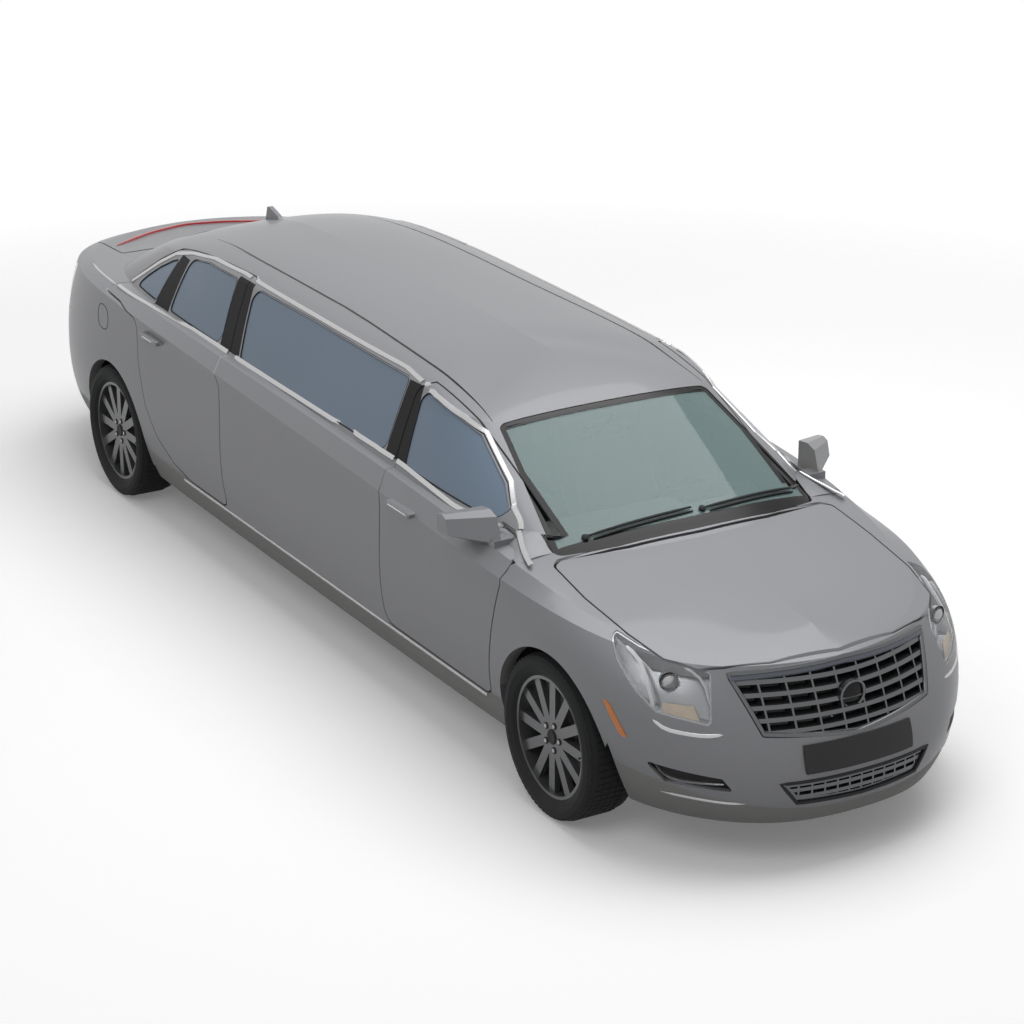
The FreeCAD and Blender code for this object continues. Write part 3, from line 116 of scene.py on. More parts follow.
def buildStudio():
    yaw, pitch = math.radians(studio["yaw"]), math.radians(studio["pitch"])
    forward = (math.cos(yaw) * math.cos(pitch), math.sin(yaw) * math.cos(pitch), -math.sin(pitch))
    camera = aimed(bpy.data.objects.new("photoCamera", bpy.data.cameras.new("photoCamera")), studio["eye"], forward)
    camera.data.lens = studio["lens"]
    camera.data.sensor_width = studio["sensor"]
    camera.data.clip_end = studio["farthest"]
    scene.camera = camera
    world = bpy.data.worlds.new("studio")
    scene.world = world
    world.use_nodes = True
    tree = world.node_tree
    background = tree.nodes["Background"]
    tree.links.new(remap(tree, seenRays(tree), studio["skyStrength"], 1.0), background.inputs["Strength"])
    background.inputs["Color"].default_value = (1, 1, 1, 1)
    for name, place, spot, width, watts in studio["lamps"]:
        light = bpy.data.objects.new(name, bpy.data.lights.new(name, "AREA"))
        aimed(light, place, Vector(spot) - Vector(place))
        light.data.size = width
        light.data.energy = watts
    reach, low = studio["floorReach"], -studio["floorDrop"]
    mesh = bpy.data.meshes.new("floor")
    mesh.from_pydata([(-reach, -reach, low), (reach, -reach, low), (reach, reach, low), (-reach, reach, low)],
                     [], [(0, 1, 2, 3)])
    floor = bpy.data.objects.new("floor", mesh)
    scene.collection.objects.link(floor)
    scene.view_settings.view_transform = "Standard"
    return floor


# Shader groups: an input is a colour (four numbers), a vector (three) or a number.
def newGroup(name, outputs, **inputs):
    group = bpy.data.node_groups.new(name, "ShaderNodeTree")
    for key, value in inputs.items():
        size = len(value) if isinstance(value, tuple) else 1
        kind = {4: "NodeSocketColor", 3: "NodeSocketVector", 1: "NodeSocketFloat"}[size]
        group.interface.new_socket(key.replace("_", " "), in_out="INPUT", socket_type=kind).default_value = value
    for key in outputs:
        kind = "NodeSocketColor" if key == "Color" else "NodeSocketFloat"
        group.interface.new_socket(key, in_out="OUTPUT", socket_type=kind)
    return group, group.nodes.new("NodeGroupInput").outputs


def closeGroup(group, **sockets):
    out = group.nodes.new("NodeGroupOutput")
    for name, socket in sockets.items():
        group.links.new(socket, out.inputs[name])
    return group


def buildSpeckle():
    # fine grain: colour that varies a little, and a height for the bump
    group, given = newGroup("speckle", ("Color", "Height"), Base=(0.5, 0.5, 0.5, 1.0), Scale=200.0, Contrast=0.06,
                            Stretch=(1.0, 1.0, 1.0))
    coords = add(group, "ShaderNodeTexCoord")
    mapping = add(group, "ShaderNodeMapping", {"Vector": coords.outputs["Object"], "Scale": given["Stretch"]})
    grain = add(group, "ShaderNodeTexNoise", {
        "Vector": mapping.outputs["Vector"], "Scale": given["Scale"], "Detail": 3})
    shift = calc(group, "SUBTRACT", grain.outputs["Fac"], 0.5)
    gain = calc(group, "MULTIPLY_ADD", shift, given["Contrast"], 1.0)
    tint = add(group, "ShaderNodeVectorMath", {0: given["Base"], "Scale": gain}, operation="SCALE")
    return closeGroup(group, Color=tint.outputs["Vector"], Height=grain.outputs["Fac"])


def buildHide():
    # leather: small rounded cells with creases between them, the creases darkened as painted shade
    group, given = newGroup("hideGrain", ("Mask", "Height"), Scale=420.0, Crease=0.35)
    coords = add(group, "ShaderNodeTexCoord")
    cells = add(group, "ShaderNodeTexVoronoi", {"Vector": coords.outputs["Object"], "Scale": given["Scale"]},
                feature="DISTANCE_TO_EDGE")
    edge = cells.outputs["Distance"]
    creaseShade = calc(group, "LESS_THAN", edge, 0.08)
    return closeGroup(group, Mask=calc(group, "MULTIPLY", creaseShade, given["Crease"]), Height=edge)


def buildDust():
    # road dust: grows towards the ground and breaks up in patches
    group, given = newGroup("roadDust", ("Mask",), Top=0.35, Depth=0.30, Amount=0.3)
    coords = add(group, "ShaderNodeTexCoord")
    patches = add(group, "ShaderNodeTexNoise", {"Vector": coords.outputs["Object"], "Scale": 14, "Detail": 6})
    below = calc(group, "SUBTRACT", given["Top"], separated(group)["Z"])
    share = calc(group, "DIVIDE", below, given["Depth"])
    share.node.use_clamp = True
    dusty = calc(group, "MULTIPLY", share, patches.outputs["Fac"])
    return closeGroup(group, Mask=calc(group, "MULTIPLY", dusty, given["Amount"]))


def buildInward():
    # 1 on faces that look into the car, 0 on those that look out
    group, given = newGroup("inward", ("Mask",), Threshold=0.25)
    place, turn = separated(group), separated(group, "Normal")
    across = calc(group, "MULTIPLY", calc(group, "SIGN", place["Y"]), turn["Y"])
    lowered = calc(group, "MULTIPLY", calc(group, "MINIMUM", across, turn["Z"]), -1.0)
    return closeGroup(group, Mask=calc(group, "GREATER_THAN", lowered, given["Threshold"]))


def buildBand():
    # 1 between two lines that lean along the car as they rise, and between two heights
    group, given = newGroup("band", ("Mask",), Front=0.0, Front_Lean=0.0, Rear=1.0, Rear_Lean=0.0, Low=0.0, High=2.0)
    place = separated(group)
    back = calc(group, "SUBTRACT", frontAxle, place["X"])
    rise = calc(group, "SUBTRACT", place["Z"], given["Low"])
    lines = [calc(group, "MULTIPLY_ADD", rise, given[end + " Lean"], given[end]) for end in ("Front", "Rear")]
    product = calc(group, "GREATER_THAN", back, lines[0])
    for test in (calc(group, "LESS_THAN", back, lines[1]), calc(group, "GREATER_THAN", place["Z"], given["Low"]),
                 calc(group, "LESS_THAN", place["Z"], given["High"])):
        product = calc(group, "MULTIPLY", product, test)
    return closeGroup(group, Mask=product)


def buildWheelPlace():
    # distance from the nearer axle, and reach out from the middle of the car
    group, given = newGroup("wheelPlace", ("Radius", "Reach"), Axle_Height=axleHeight)
    place = separated(group)
    offsets = [calc(group, "ABSOLUTE", calc(group, "SUBTRACT", place["X"], axle)) for axle in (frontAxle, rearAxle)]
    rise = calc(group, "SUBTRACT", place["Z"], given["Axle Height"])
    return closeGroup(group, Radius=length(group, calc(group, "MINIMUM", *offsets), rise),
                      Reach=calc(group, "ABSOLUTE", place["Y"]))


speckle = buildSpeckle()
hideGrain = buildHide()
roadDust = buildDust()
inward = buildInward()
band = buildBand()
wheelPlace = buildWheelPlace()


def use(tree, group, **values):
    inputs = {name.replace("_", " "): value for name, value in values.items()}
    return add(tree, "ShaderNodeGroup", inputs, node_tree=group).outputs


def mixColour(tree, mask, first, second):
    return add(tree, "ShaderNodeMix", {"Factor": mask, 6: first, 7: (*second, 1)}, data_type="RGBA").outputs[2]


def addBump(tree, height, strength, distance=0.001):
    bump = add(tree, "ShaderNodeBump", {"Strength": strength, "Distance": distance, "Height": height})
    tree.links.new(bump.outputs["Normal"], tree.nodes["Principled BSDF"].inputs["Normal"])


def finish(name, colour, rough=0.5, metal=0.0, grain=200.0, contrast=0.06, bump=0.02, stretch=(1, 1, 1), **sockets):
    material = bpy.data.materials.new(name)
    material.use_nodes = True
    tree = material.node_tree
    shader = tree.nodes["Principled BSDF"]
    grained = use(tree, speckle, Base=(*colour, 1), Scale=grain, Contrast=contrast, Stretch=stretch)
    tree.links.new(grained["Color"], shader.inputs["Base Color"])
    if bump:
        addBump(tree, grained["Height"], bump)
    for socket, value in dict(sockets, Roughness=rough, Metallic=metal).items():
        shader.inputs[socket.replace("_", " ")].default_value = value
    return material


def tinted(material, mask, colour):
    # takes a second colour where the mask is 1
    tree = material.node_tree
    base = tree.nodes["Principled BSDF"].inputs["Base Color"]
    tree.links.new(mixColour(tree, mask, base.links[0].from_socket, colour), base)


paint = {
    # rocker is the darker colour of a band low on the sides and doors: painted shade
    "colour": (0.235, 0.238, 0.252), "rocker": (0.105, 0.105, 0.110), "inside": (0.30, 0.30, 0.29),
    "black": (0.002, 0.002, 0.002), "dust": (0.12, 0.118, 0.113),
    "rough": 0.42, "metal": 0.24, "coat": 0.22, "insideRough": 0.65,
    "rockerShadeBand": {"Front": 0.3, "Rear": 4.1, "Low": 0.0, "High": 0.335},
    "pillarBands": [
        {"Front": 1.372, "Front_Lean": 0.3875, "Rear": 1.551, "Rear_Lean": 0.198, "Low": 1.100, "High": 1.402},
        {"Front": 3.064, "Front_Lean": 0.50, "Rear": 3.279, "Rear_Lean": 0.37, "Low": 1.128, "High": 1.430}],
    "quarterBand": [
        {"Front": 3.925, "Front_Lean": 0.16, "Rear": 4.105, "Rear_Lean": -0.10, "Low": 1.130, "High": 1.372}],
}


def paintMaterial(name, bands=(), rocker=True):
    # silver grey metallic lacquer outside, darkened by painted shade in a band low on the sides where rocker is set,
    # pale trim inside, black panels between the windows
    material = finish(name, paint["colour"], paint["rough"], paint["metal"], 900.0, 0.10, 0.004,
                      Coat_Roughness=0.06, Specular_IOR_Level=0.25)
    tree = material.node_tree
    shader = tree.nodes["Principled BSDF"]
    plain = use(tree, inward)["Mask"]
    # painted shade: a band low on the sides and doors takes the darker rocker colour
    if rocker:
        tinted(material, use(tree, band, **paint["rockerShadeBand"])["Mask"], paint["rocker"])
    tinted(material, use(tree, roadDust, Top=0.36, Depth=0.25, Amount=0.15)["Mask"], paint["dust"])
    tinted(material, plain, paint["inside"])
    for values in bands:
        mask = use(tree, band, **values)["Mask"]
        tinted(material, mask, paint["black"])
        plain = calc(tree, "MAXIMUM", plain, mask)
    for socket, outside, inside in (("Metallic", "metal", 0.0), ("Roughness", "rough", paint["insideRough"]),
                                    ("Coat Weight", "coat", 0.0)):
        tree.links.new(remap(tree, plain, paint[outside], inside), shader.inputs[socket])
    return material


# name, colour, roughness, metal, grain's scale and contrast, bump
materials = {
    "paint": paintMaterial("silverPaint", rocker=False),
    "paintSide": paintMaterial("silverPaintSides", paint["pillarBands"]),
    "paintDoor": paintMaterial("silverPaintDoors", paint["pillarBands"] + paint["quarterBand"]),
    "glassFront": finish("windscreenGlass", (0.22, 0.325, 0.32), 0.03, 0.0, 1.2, 0.02, 0.0, Alpha=0.55, IOR=1.45),
    "glassSide": finish("sideGlass", (0.22, 0.30, 0.40), 0.03, 0.0, 1.2, 0.02, 0.0, Alpha=0.68, IOR=1.45),
    "lens": finish("clearLens", (0.62, 0.64, 0.66), 0.02, 0.0, 5.0, 0.01, 0.0, Alpha=0.10, Coat_Weight=0.5),
    "bowl": finish("lampBowl", (0.36, 0.37, 0.385), 0.22, 0.6, 60.0, 0.05, 0.01),
    "red": finish("redLens", (0.42, 0.006, 0.010), 0.12, 0.0, 300.0, 0.10, 0.02, Coat_Weight=0.5),
    "amber": finish("amberLens", (0.80, 0.22, 0.01), 0.15, 0.0, 300.0, 0.08, 0.02, Coat_Weight=0.3),
    "grille": finish("darkChrome", (0.12, 0.124, 0.13), 0.24, 0.8, 60.0, 0.05, 0.004),
    "grilleBar": finish("blueGreyBar", (0.085, 0.092, 0.118), 0.30, 0.4, 60.0, 0.05, 0.004, Coat_Weight=0.2),
    "blackGloss": finish("blackGloss", (0.004, 0.004, 0.004), 0.20, 0.0, 400.0, 0.10, 0.004, Specular_IOR_Level=0.2),
    "blackMatt": finish("blackPlastic", (0.010, 0.010, 0.011), 0.62, 0.0, 700.0, 0.25, 0.10, Specular_IOR_Level=0.3),
    "rubber": finish("sealRubber", (0.010, 0.010, 0.011), 0.78, 0.0, 500.0, 0.25, 0.12, Specular_IOR_Level=0.3),
    "tyre": finish("tyreRubber", (0.012, 0.013, 0.0135), 0.82, 0.0, 260.0, 0.30, 0.18, Specular_IOR_Level=0.3),
    "under": finish("underbodyCoat", (0.020, 0.020, 0.021), 0.85, 0.0, 180.0, 0.35, 0.30, Specular_IOR_Level=0.3),
    "chrome": finish("brightTrim", (0.50, 0.50, 0.505), 0.22, 0.85, 40.0, 0.03, 0.003),
    "steel": finish("discSteel", (0.38, 0.38, 0.39), 0.34, 1.0, 220.0, 0.12, 0.05, (1, 1, 8)),
    "cast": finish("castIron", (0.12, 0.12, 0.125), 0.66, 0.7, 150.0, 0.25, 0.30),
    "wheel": finish("wheelAlloy", (0.12, 0.122, 0.126), 0.36, 0.55, 500.0, 0.10, 0.01, Coat_Weight=0.25),
    "trim": finish("softTrim", (0.055, 0.056, 0.058), 0.72, 0.0, 900.0, 0.20, 0.15),
    "paleTrim": finish("paleTrim", (0.50, 0.51, 0.50), 0.62, 0.0, 900.0, 0.10, 0.12),
    "lining": finish("roofLining", (0.52, 0.51, 0.48), 0.92, 0.0, 1400.0, 0.15, 0.12),
    "carpet": finish("carpet", (0.16, 0.155, 0.15), 0.97, 0.0, 1100.0, 0.45, 0.6),
    "lacquer": finish("paleLacquer", (0.60, 0.62, 0.65), 0.28, 0.0, 30.0, 0.05, 0.0, Coat_Weight=0.4),
    "wood": finish("darkWood", (0.12, 0.055, 0.026), 0.28, 0.0, 22.0, 0.6, 0.02, (1, 6, 6), Coat_Weight=0.6),
    "leather": finish("paleLeather", (0.56, 0.56, 0.54), 0.50, 0.0, 520.0, 0.10, 0.0),
    "thread": finish("seamThread", (0.30, 0.30, 0.29), 0.80, 0.0, 1500.0, 0.20, 0.10),
    # a white used on the reverse lamp, and as a painted highlight strip inside the headlamp
    "white": finish("lampWhiteAndHighlight", (0.80, 0.81, 0.82), 0.30, 0.0, 90.0, 0.03, 0.0),
    "beige": finish("lampReflector", (0.60, 0.49, 0.37), 0.35, 0.2, 26.0, 0.55, 0.05),
    "plate": finish("blankPlate", (0.020, 0.020, 0.021), 0.45, 0.0, 200.0, 0.10, 0.02, Specular_IOR_Level=0.3),
    "mirror": finish("mirrorGlass", (0.80, 0.82, 0.84), 0.02, 1.0, 5.0, 0.01, 0.0),
    "glassware": finish("glassware", (0.75, 0.80, 0.82), 0.03, 0.0, 5.0, 0.01, 0.0, Alpha=0.35),
}

refined = {
    "disc": (0.30, 0.30, 0.31), "discReach": 0.815, "discRadius": 0.17,
    "rings": 900.0, "ringsWithin": 0.315, "ringBump": 0.35, "ringDepth": 0.0012,
    "dust": (0.09, 0.085, 0.08), "dusty": (("tyre", 0.30), ("under", 0.40), ("cast", 0.25)),
    # the colour of painted shade in the creases of the grain
    "creaseShade": (0.05, 0.05, 0.05), "grained": (("leather", 0.28), ("trim", 0.20), ("paleTrim", 0.15)),
}


def refineMaterials():
    # bare steel on the brake disc behind the grey alloy
    tree = materials["wheel"].node_tree
    spot = use(tree, wheelPlace)
    disc = calc(tree, "MULTIPLY", calc(tree, "LESS_THAN", spot["Reach"], refined["discReach"]),
                calc(tree, "LESS_THAN", spot["Radius"], refined["discRadius"]))
    tinted(materials["wheel"], disc, refined["disc"])
    # moulded rings on the tyre's sidewall, and dust low down
    tree = materials["tyre"].node_tree
    radius = use(tree, wheelPlace)["Radius"]
    rings = calc(tree, "SINE", calc(tree, "MULTIPLY", radius, refined["rings"]))
    wall = calc(tree, "LESS_THAN", radius, refined["ringsWithin"])
    addBump(tree, calc(tree, "MULTIPLY", rings, wall), refined["ringBump"], refined["ringDepth"])
    for name, amount in refined["dusty"]:
        mask = use(materials[name].node_tree, roadDust, Top=0.60, Depth=0.60, Amount=amount)["Mask"]
        tinted(materials[name], mask, refined["dust"])
    # pores and creases in the leather and the soft trim, the creases darkened as painted shade
    for name, strength in refined["grained"]:
        grain = use(materials[name].node_tree, hideGrain, Scale=330.0, Crease=0.25)
        tinted(materials[name], grain["Mask"], refined["creaseShade"])
        addBump(materials[name].node_tree, grain["Height"], strength)


refineMaterials()
print("materials made", len(materials))


def surface(*names):
    verts, faces = [], []
    for name in names:
        mesh = nodes[name].data
        start = len(verts)
        verts += [v.co.copy() for v in mesh.vertices]
        faces += [tuple(start + i for i in p.vertices) for p in mesh.polygons]
    return BVHTree.FromPolygons(verts, faces)


skins = {
    "side": surface("side_panel_right", "door_front_right", "door_rear_right", "front_fenders", "front_bumper",
                    "rear_bumper", "tail_lamps", "headlamp_lenses"),
    "top": surface("roof_panel", "bonnet", "boot_lid", "rear_scuttle", "side_panel_right", "front_fenders",
                   "door_front_right", "door_rear_right", "front_bumper"),
    "panes": surface("glass_front_right", "glass_rear_right", "side_glass"),
    "windscreen": surface("windscreen"),
    "rearWindow": surface("rear_window"),
    "nose": surface("front_bumper", "bonnet", "front_fenders", "headlamp_lenses", "grille_upper", "grille_lower",
                    "fog_recess"),
    "tail": surface("rear_bumper", "boot_lid", "tail_lamps", "side_panel_right"),
    "tailBoth": surface("rear_bumper", "boot_lid", "tail_lamps", "side_panel_right", "side_panel_left"),
}
farOut = 3.0


def cast(skin, origin, direction):
    hit = skins[skin].ray_cast(Vector(origin), Vector(direction).normalized())
    return (hit[0], hit[1]) if hit[0] is not None else None


def drape(points, skin, direction, lift=0.0):
    # drops points onto a skin along a direction; a miss takes the place of the last hit
    heading = Vector(direction).normalized()
    placed = []
    for point in points:
        found = cast(skin, Vector(point) - heading * farOut, heading)
        if found:
            spot, normal = found
            if normal.dot(heading) > 0:
                normal = -normal
            placed.append((spot + normal * lift, normal))
        elif placed:
            last, normal = placed[-1]
            placed.append((Vector(point) - heading * (Vector(point) - last).dot(heading), normal))
    return placed


def evenly(points, step, closed=False):
    ring = [Vector(p) for p in points]
    if closed:
        ring.append(ring[0])
    made = []
    for a, b in zip(ring, ring[1:]):
        count = max(1, int((b - a).length / step))
        made += [a.lerp(b, i / count) for i in range(count)]
    return made if closed else made + ring[-1:]


def softened(points, rounds=2, closed=False):
    # cuts the corners of a polyline (Chaikin)
    line = [Vector(p) for p in points]
    for _ in range(rounds):
        pairs = zip(line, line[1:] + line[:1] if closed else line[1:])
        cut = [spot for a, b in pairs for spot in (a.lerp(b, 0.25), a.lerp(b, 0.75))]
        line = cut if closed else line[:1] + cut + line[-1:]
    return line


def mirrored(spot):
    return Vector((spot[0], -spot[1], spot[2]))


def acrossCar(points):
    # adds the mirror image of a line's points, backwards; those on the middle line stay single
    return points + [mirrored(p) for p in reversed(points) if p.y]


sharpFrom = math.radians(35)


def addPiece(name, verts, faces, body, material):
    mesh = bpy.data.meshes.new(name)
    mesh.from_pydata([tuple(v) for v in verts], [], faces)
    mesh.validate()
    builder = bmesh.new()
    builder.from_mesh(mesh)
    bmesh.ops.remove_doubles(builder, verts=builder.verts, dist=1e-6)
    bmesh.ops.recalc_face_normals(builder, faces=builder.faces)
    builder.to_mesh(mesh)
    builder.free()
    piece = bpy.data.objects.new(name, mesh)
    scene.collection.objects.link(piece)
    mesh.materials.append(materials[material])
    mesh.polygons.foreach_set("use_smooth", [True] * len(mesh.polygons))
    mesh.set_sharp_from_angle(angle=sharpFrom)
    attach(piece, body)
    return piece


def joined(*parts):
    verts, faces = [], []
    for partVerts, partFaces in parts:
        start = len(verts)
        verts += list(partVerts)
        faces += [tuple(start + i for i in face) for face in partFaces]
    return verts, faces


def addPair(name, shape, bodies, material):
    # one piece on the right side and its mirror image on the left
    verts, faces = shape
    addPiece(name + "Right", verts, faces, bodies[0], material)
    turned = [tuple(reversed(face)) for face in faces]
    addPiece(name + "Left", [mirrored(v) for v in verts], turned, bodies[1], material)


def sweep(path, profile, closed=False, taper=0.0):
    # path: places with outward normals; profile: (across, out) points of a closed section
    count, size = len(path), len(profile)
    verts, faces = [], []
    for i, (spot, normal) in enumerate(path):
        before = path[i - 1][0] if i or closed else path[0][0]
        after = path[(i + 1) % count][0] if i < count - 1 or closed else path[-1][0]
        along = (after - before).normalized()
        out = (normal - along * normal.dot(along)).normalized()
        across = along.cross(out)
        share = i / (count - 1) if count > 1 else 0
        scale = 1 - taper * (1 - min(1, 8 * share, 8 * (1 - share)))
        verts += [spot + across * (a * scale) + out * (b * scale if b > 0 else b) for a, b in profile]
    for i in range(count if closed else count - 1):
        ahead = (i + 1) % count * size
        faces += [(i * size + j, i * size + (j + 1) % size, ahead + (j + 1) % size, ahead + j) for j in range(size)]
    if not closed:
        faces += [tuple(range(size)), tuple(reversed(range((count - 1) * size, count * size)))]
    return verts, faces


def strip(width, height, sunk=0.002):
    # a trim strip's section: flat below, crowned above
    half = width / 2
    return [(-half, -sunk), (half, -sunk), (half, height * 0.45), (half * 0.72, height), (-half * 0.72, height),
            (-half, height * 0.45)]


def lathe(profile, centre, axis=(0, 1, 0), count=48, closed=False):
    # profile: (radius, along) points
    axis = Vector(axis).normalized()
    first = axis.orthogonal().normalized()
    second = axis.cross(first)
    verts, faces = [], []
    for radius, along in profile:
        for i in range(count):
            turn = 2 * math.pi * i / count
            verts.append(Vector(centre) + axis * along + (first * math.cos(turn) + second * math.sin(turn)) * radius)
    rows = len(profile)
    for row in range(rows if closed else rows - 1):
        here, ahead = row * count, (row + 1) % rows * count
        faces += [(here + i, here + (i + 1) % count, ahead + (i + 1) % count, ahead + i) for i in range(count)]
    if not closed:
        faces += [tuple(reversed(range(count))), tuple(range((rows - 1) * count, rows * count))]
    return verts, faces


def plate(tops, lows, across, up):
    # a closed plate from the places above and below, row by row
    width, count = across + 1, len(tops)
    faces = []
    for j in range(up):
        for i in range(across):
            k = j * width + i
            face = (k, k + 1, k + width + 1, k + width)
            faces += [face, tuple(count + corner for corner in reversed(face))]
    rim = list(range(width)) + [j * width + across for j in range(1, up + 1)]
    rim += [up * width + i for i in range(across - 1, -1, -1)] + [j * width for j in range(up - 1, 0, -1)]
    faces += [(m, n, count + n, count + m) for m, n in zip(rim, rim[1:] + rim[:1])]
    return tops + lows, faces


def patch(corners, skin, heading, across=12, up=6, lift=0.002, thickness=0.003, rounding=0.0):
    # a thin curved plate laid on a skin: corners run round the outline, rounding pulls them in
    a, b, c, d = places(corners)
    points = []
    for j in range(up + 1):
        for i in range(across + 1):
            u, v = 2 * i / across - 1, 2 * j / up - 1
            s = (u * math.sqrt(1 - rounding * v * v / 2) + 1) / 2
            t = (v * math.sqrt(1 - rounding * u * u / 2) + 1) / 2
            points.append(a.lerp(b, s).lerp(d.lerp(c, s), t))
    placed = drape(points, skin, heading)
    return plate([spot + normal * lift for spot, normal in placed],
                 [spot + normal * (lift - thickness) for spot, normal in placed], across, up)


def cubeMesh(low, high, radius, segments):
    low, high = Vector(low), Vector(high)
    builder = bmesh.new()
    bmesh.ops.create_cube(builder, size=1)
    for vert in builder.verts:
        vert.co = Vector(low[i] + (vert.co[i] + 0.5) * (high[i] - low[i]) for i in range(3))
    bmesh.ops.bevel(builder, geom=builder.edges[:], offset=radius, segments=segments, profile=0.5, affect="EDGES")
    return builder


def roundedBlock(low, high, radius=0.006, segments=2):
    builder = cubeMesh(low, high, radius, segments)
    verts = [v.co.copy() for v in builder.verts]
    faces = [tuple(v.index for v in f.verts) for f in builder.faces]
    builder.free()
    return verts, faces


# Geometry Nodes: an input is a whole number, a number, three numbers, or the finish.
def newTree(name, **inputs):
    kinds = {int: "NodeSocketInt", float: "NodeSocketFloat", tuple: "NodeSocketVector", str: "NodeSocketMaterial"}
    tree = bpy.data.node_groups.new(name, "GeometryNodeTree")
    tree.interface.new_socket("Geometry", in_out="INPUT", socket_type="NodeSocketGeometry")
    for key, value in dict(inputs, Finish="").items():
        socket = tree.interface.new_socket(key, in_out="INPUT", socket_type=kinds[type(value)])
        if value != "":
            socket.default_value = value
    tree.interface.new_socket("Geometry", in_out="OUTPUT", socket_type="NodeSocketGeometry")
    return tree, tree.nodes.new("NodeGroupInput").outputs


def closeTree(tree, given, geometry):
    # every tree ends the same way: real geometry with its finish
    real = add(tree, "GeometryNodeRealizeInstances", {"Geometry": geometry})
    done = add(tree, "GeometryNodeSetMaterial", {"Geometry": real.outputs["Geometry"], "Material": given["Finish"]})
    tree.links.new(done.outputs["Geometry"], tree.nodes.new("NodeGroupOutput").inputs["Geometry"])
    return tree


def vectorOf(tree, axis, value):
    return add(tree, "ShaderNodeCombineXYZ", {axis: value}).outputs[0]


def ringTree(name, sides):
    # rows of blocks (or bolts with that many sides) set round an axle
    tree, given = newTree(name, Around=60, Radius=0.35, Rows=1, Pitch=0.03, Block=(0.01, 0.01, 0.01), Skew=0.0,
                          Centre=(0.0, 0.0, 0.0))
    if sides:
        bolt = add(tree, "GeometryNodeMeshCylinder", {"Vertices": sides, "Radius": 1, "Depth": 1})
        scaled = add(tree, "GeometryNodeTransform", {"Geometry": bolt.outputs["Mesh"], "Scale": given["Block"]})
        shape = scaled.outputs["Geometry"]
    else:
        shape = add(tree, "GeometryNodeMeshCube", {"Size": given["Block"]}).outputs["Mesh"]
    half = calc(tree, "MULTIPLY", calc(tree, "SUBTRACT", given["Rows"], 1.0), -0.5)
    rows = add(tree, "GeometryNodeMeshLine", {
        "Count": given["Rows"], "Offset": vectorOf(tree, "Z", given["Pitch"]),
        "Start Location": vectorOf(tree, "Z", calc(tree, "MULTIPLY", half, given["Pitch"]))})
    row = add(tree, "GeometryNodeInstanceOnPoints", {
        "Points": rows.outputs["Mesh"], "Instance": shape, "Rotation": vectorOf(tree, "X", given["Skew"])})
    circle = add(tree, "GeometryNodeMeshCircle", {"Vertices": given["Around"], "Radius": given["Radius"]})
    share = calc(tree, "DIVIDE", 2 * math.pi, given["Around"])
    turn = calc(tree, "MULTIPLY", add(tree, "GeometryNodeInputIndex").outputs[0], share)
    ring = add(tree, "GeometryNodeInstanceOnPoints", {
        "Points": circle.outputs["Mesh"], "Instance": row.outputs["Instances"], "Rotation": vectorOf(tree, "Z", turn)})
    solid = add(tree, "GeometryNodeRealizeInstances", {"Geometry": ring.outputs["Instances"]})
    stand = add(tree, "GeometryNodeTransform", {
        "Geometry": solid.outputs["Geometry"], "Rotation": (math.pi / 2, 0, 0), "Translation": given["Centre"]})
    return closeTree(tree, given, stand.outputs["Geometry"])


def beadTree():
    # a round bead along a line of edges
    tree, given = newTree("beadOnLine", Radius=0.004)
    line = add(tree, "GeometryNodeMeshToCurve", {"Mesh": given["Geometry"]})
    profile = add(tree, "GeometryNodeCurvePrimitiveCircle", {"Resolution": 6, "Radius": given["Radius"]})
    tube = add(tree, "GeometryNodeCurveToMesh", {
        "Curve": line.outputs["Curve"], "Profile Curve": profile.outputs["Curve"], "Fill Caps": True})
    return closeTree(tree, given, tube.outputs["Mesh"])


def studTree():
    # small blocks at even steps along a line of edges, turned with the line and its outward attribute
    tree, given = newTree("studsOnLine", Spacing=0.01, Block=(0.005, 0.001, 0.001))
    line = add(tree, "GeometryNodeMeshToCurve", {"Mesh": given["Geometry"]})
    even = add(tree, "GeometryNodeResampleCurve", {
        "Curve": line.outputs["Curve"], "Length": given["Spacing"]}, mode="LENGTH")
    block = add(tree, "GeometryNodeMeshCube", {"Size": given["Block"]})
    tangent = add(tree, "GeometryNodeInputTangent").outputs[0]
    outward = add(tree, "GeometryNodeInputNamedAttribute", {"Name": "outward"}, data_type="FLOAT_VECTOR")
    along = add(tree, "FunctionNodeAlignRotationToVector", {"Vector": tangent}, axis="X")
    upright = add(tree, "FunctionNodeAlignRotationToVector", {
        "Rotation": along.outputs["Rotation"], "Vector": outward.outputs["Attribute"]}, axis="Z", pivot_axis="X")
    studs = add(tree, "GeometryNodeInstanceOnPoints", {
        "Points": even.outputs["Curve"], "Instance": block.outputs["Mesh"], "Rotation": upright.outputs["Rotation"]})
    return closeTree(tree, given, studs.outputs["Instances"])


treadTree = ringTree("treadBlocks", 0)
boltTree = ringTree("boltRing", 6)
studRingTree = ringTree("lugWells", 16)
beadOnLine = beadTree()
studsOnLine = studTree()


def lineMesh(name, paths, closed=False):
    # paths: lists of (place, outward normal)
    verts, edges, normals = [], [], []
    for path in paths:
        start, count = len(verts), len(path)
        verts += [tuple(spot) for spot, _ in path]
        normals += [tuple(normal) for _, normal in path]
        edges += [(start + i, start + (i + 1) % count) for i in range(count if closed else count - 1)]
    mesh = bpy.data.meshes.new(name)
    mesh.from_pydata(verts or [(0, 0, 0)], edges, [])
    attribute = mesh.attributes.new("outward", "FLOAT_VECTOR", "POINT")
    attribute.data.foreach_set("vector", [n for normal in (normals or [(0, 0, 1)]) for n in normal])
    return mesh


def applied(piece):
    # takes the piece's modifiers into its mesh
    mesh = bpy.data.meshes.new_from_object(piece.evaluated_get(bpy.context.evaluated_depsgraph_get()))
    piece.modifiers.clear()
    piece.data = mesh
    return mesh


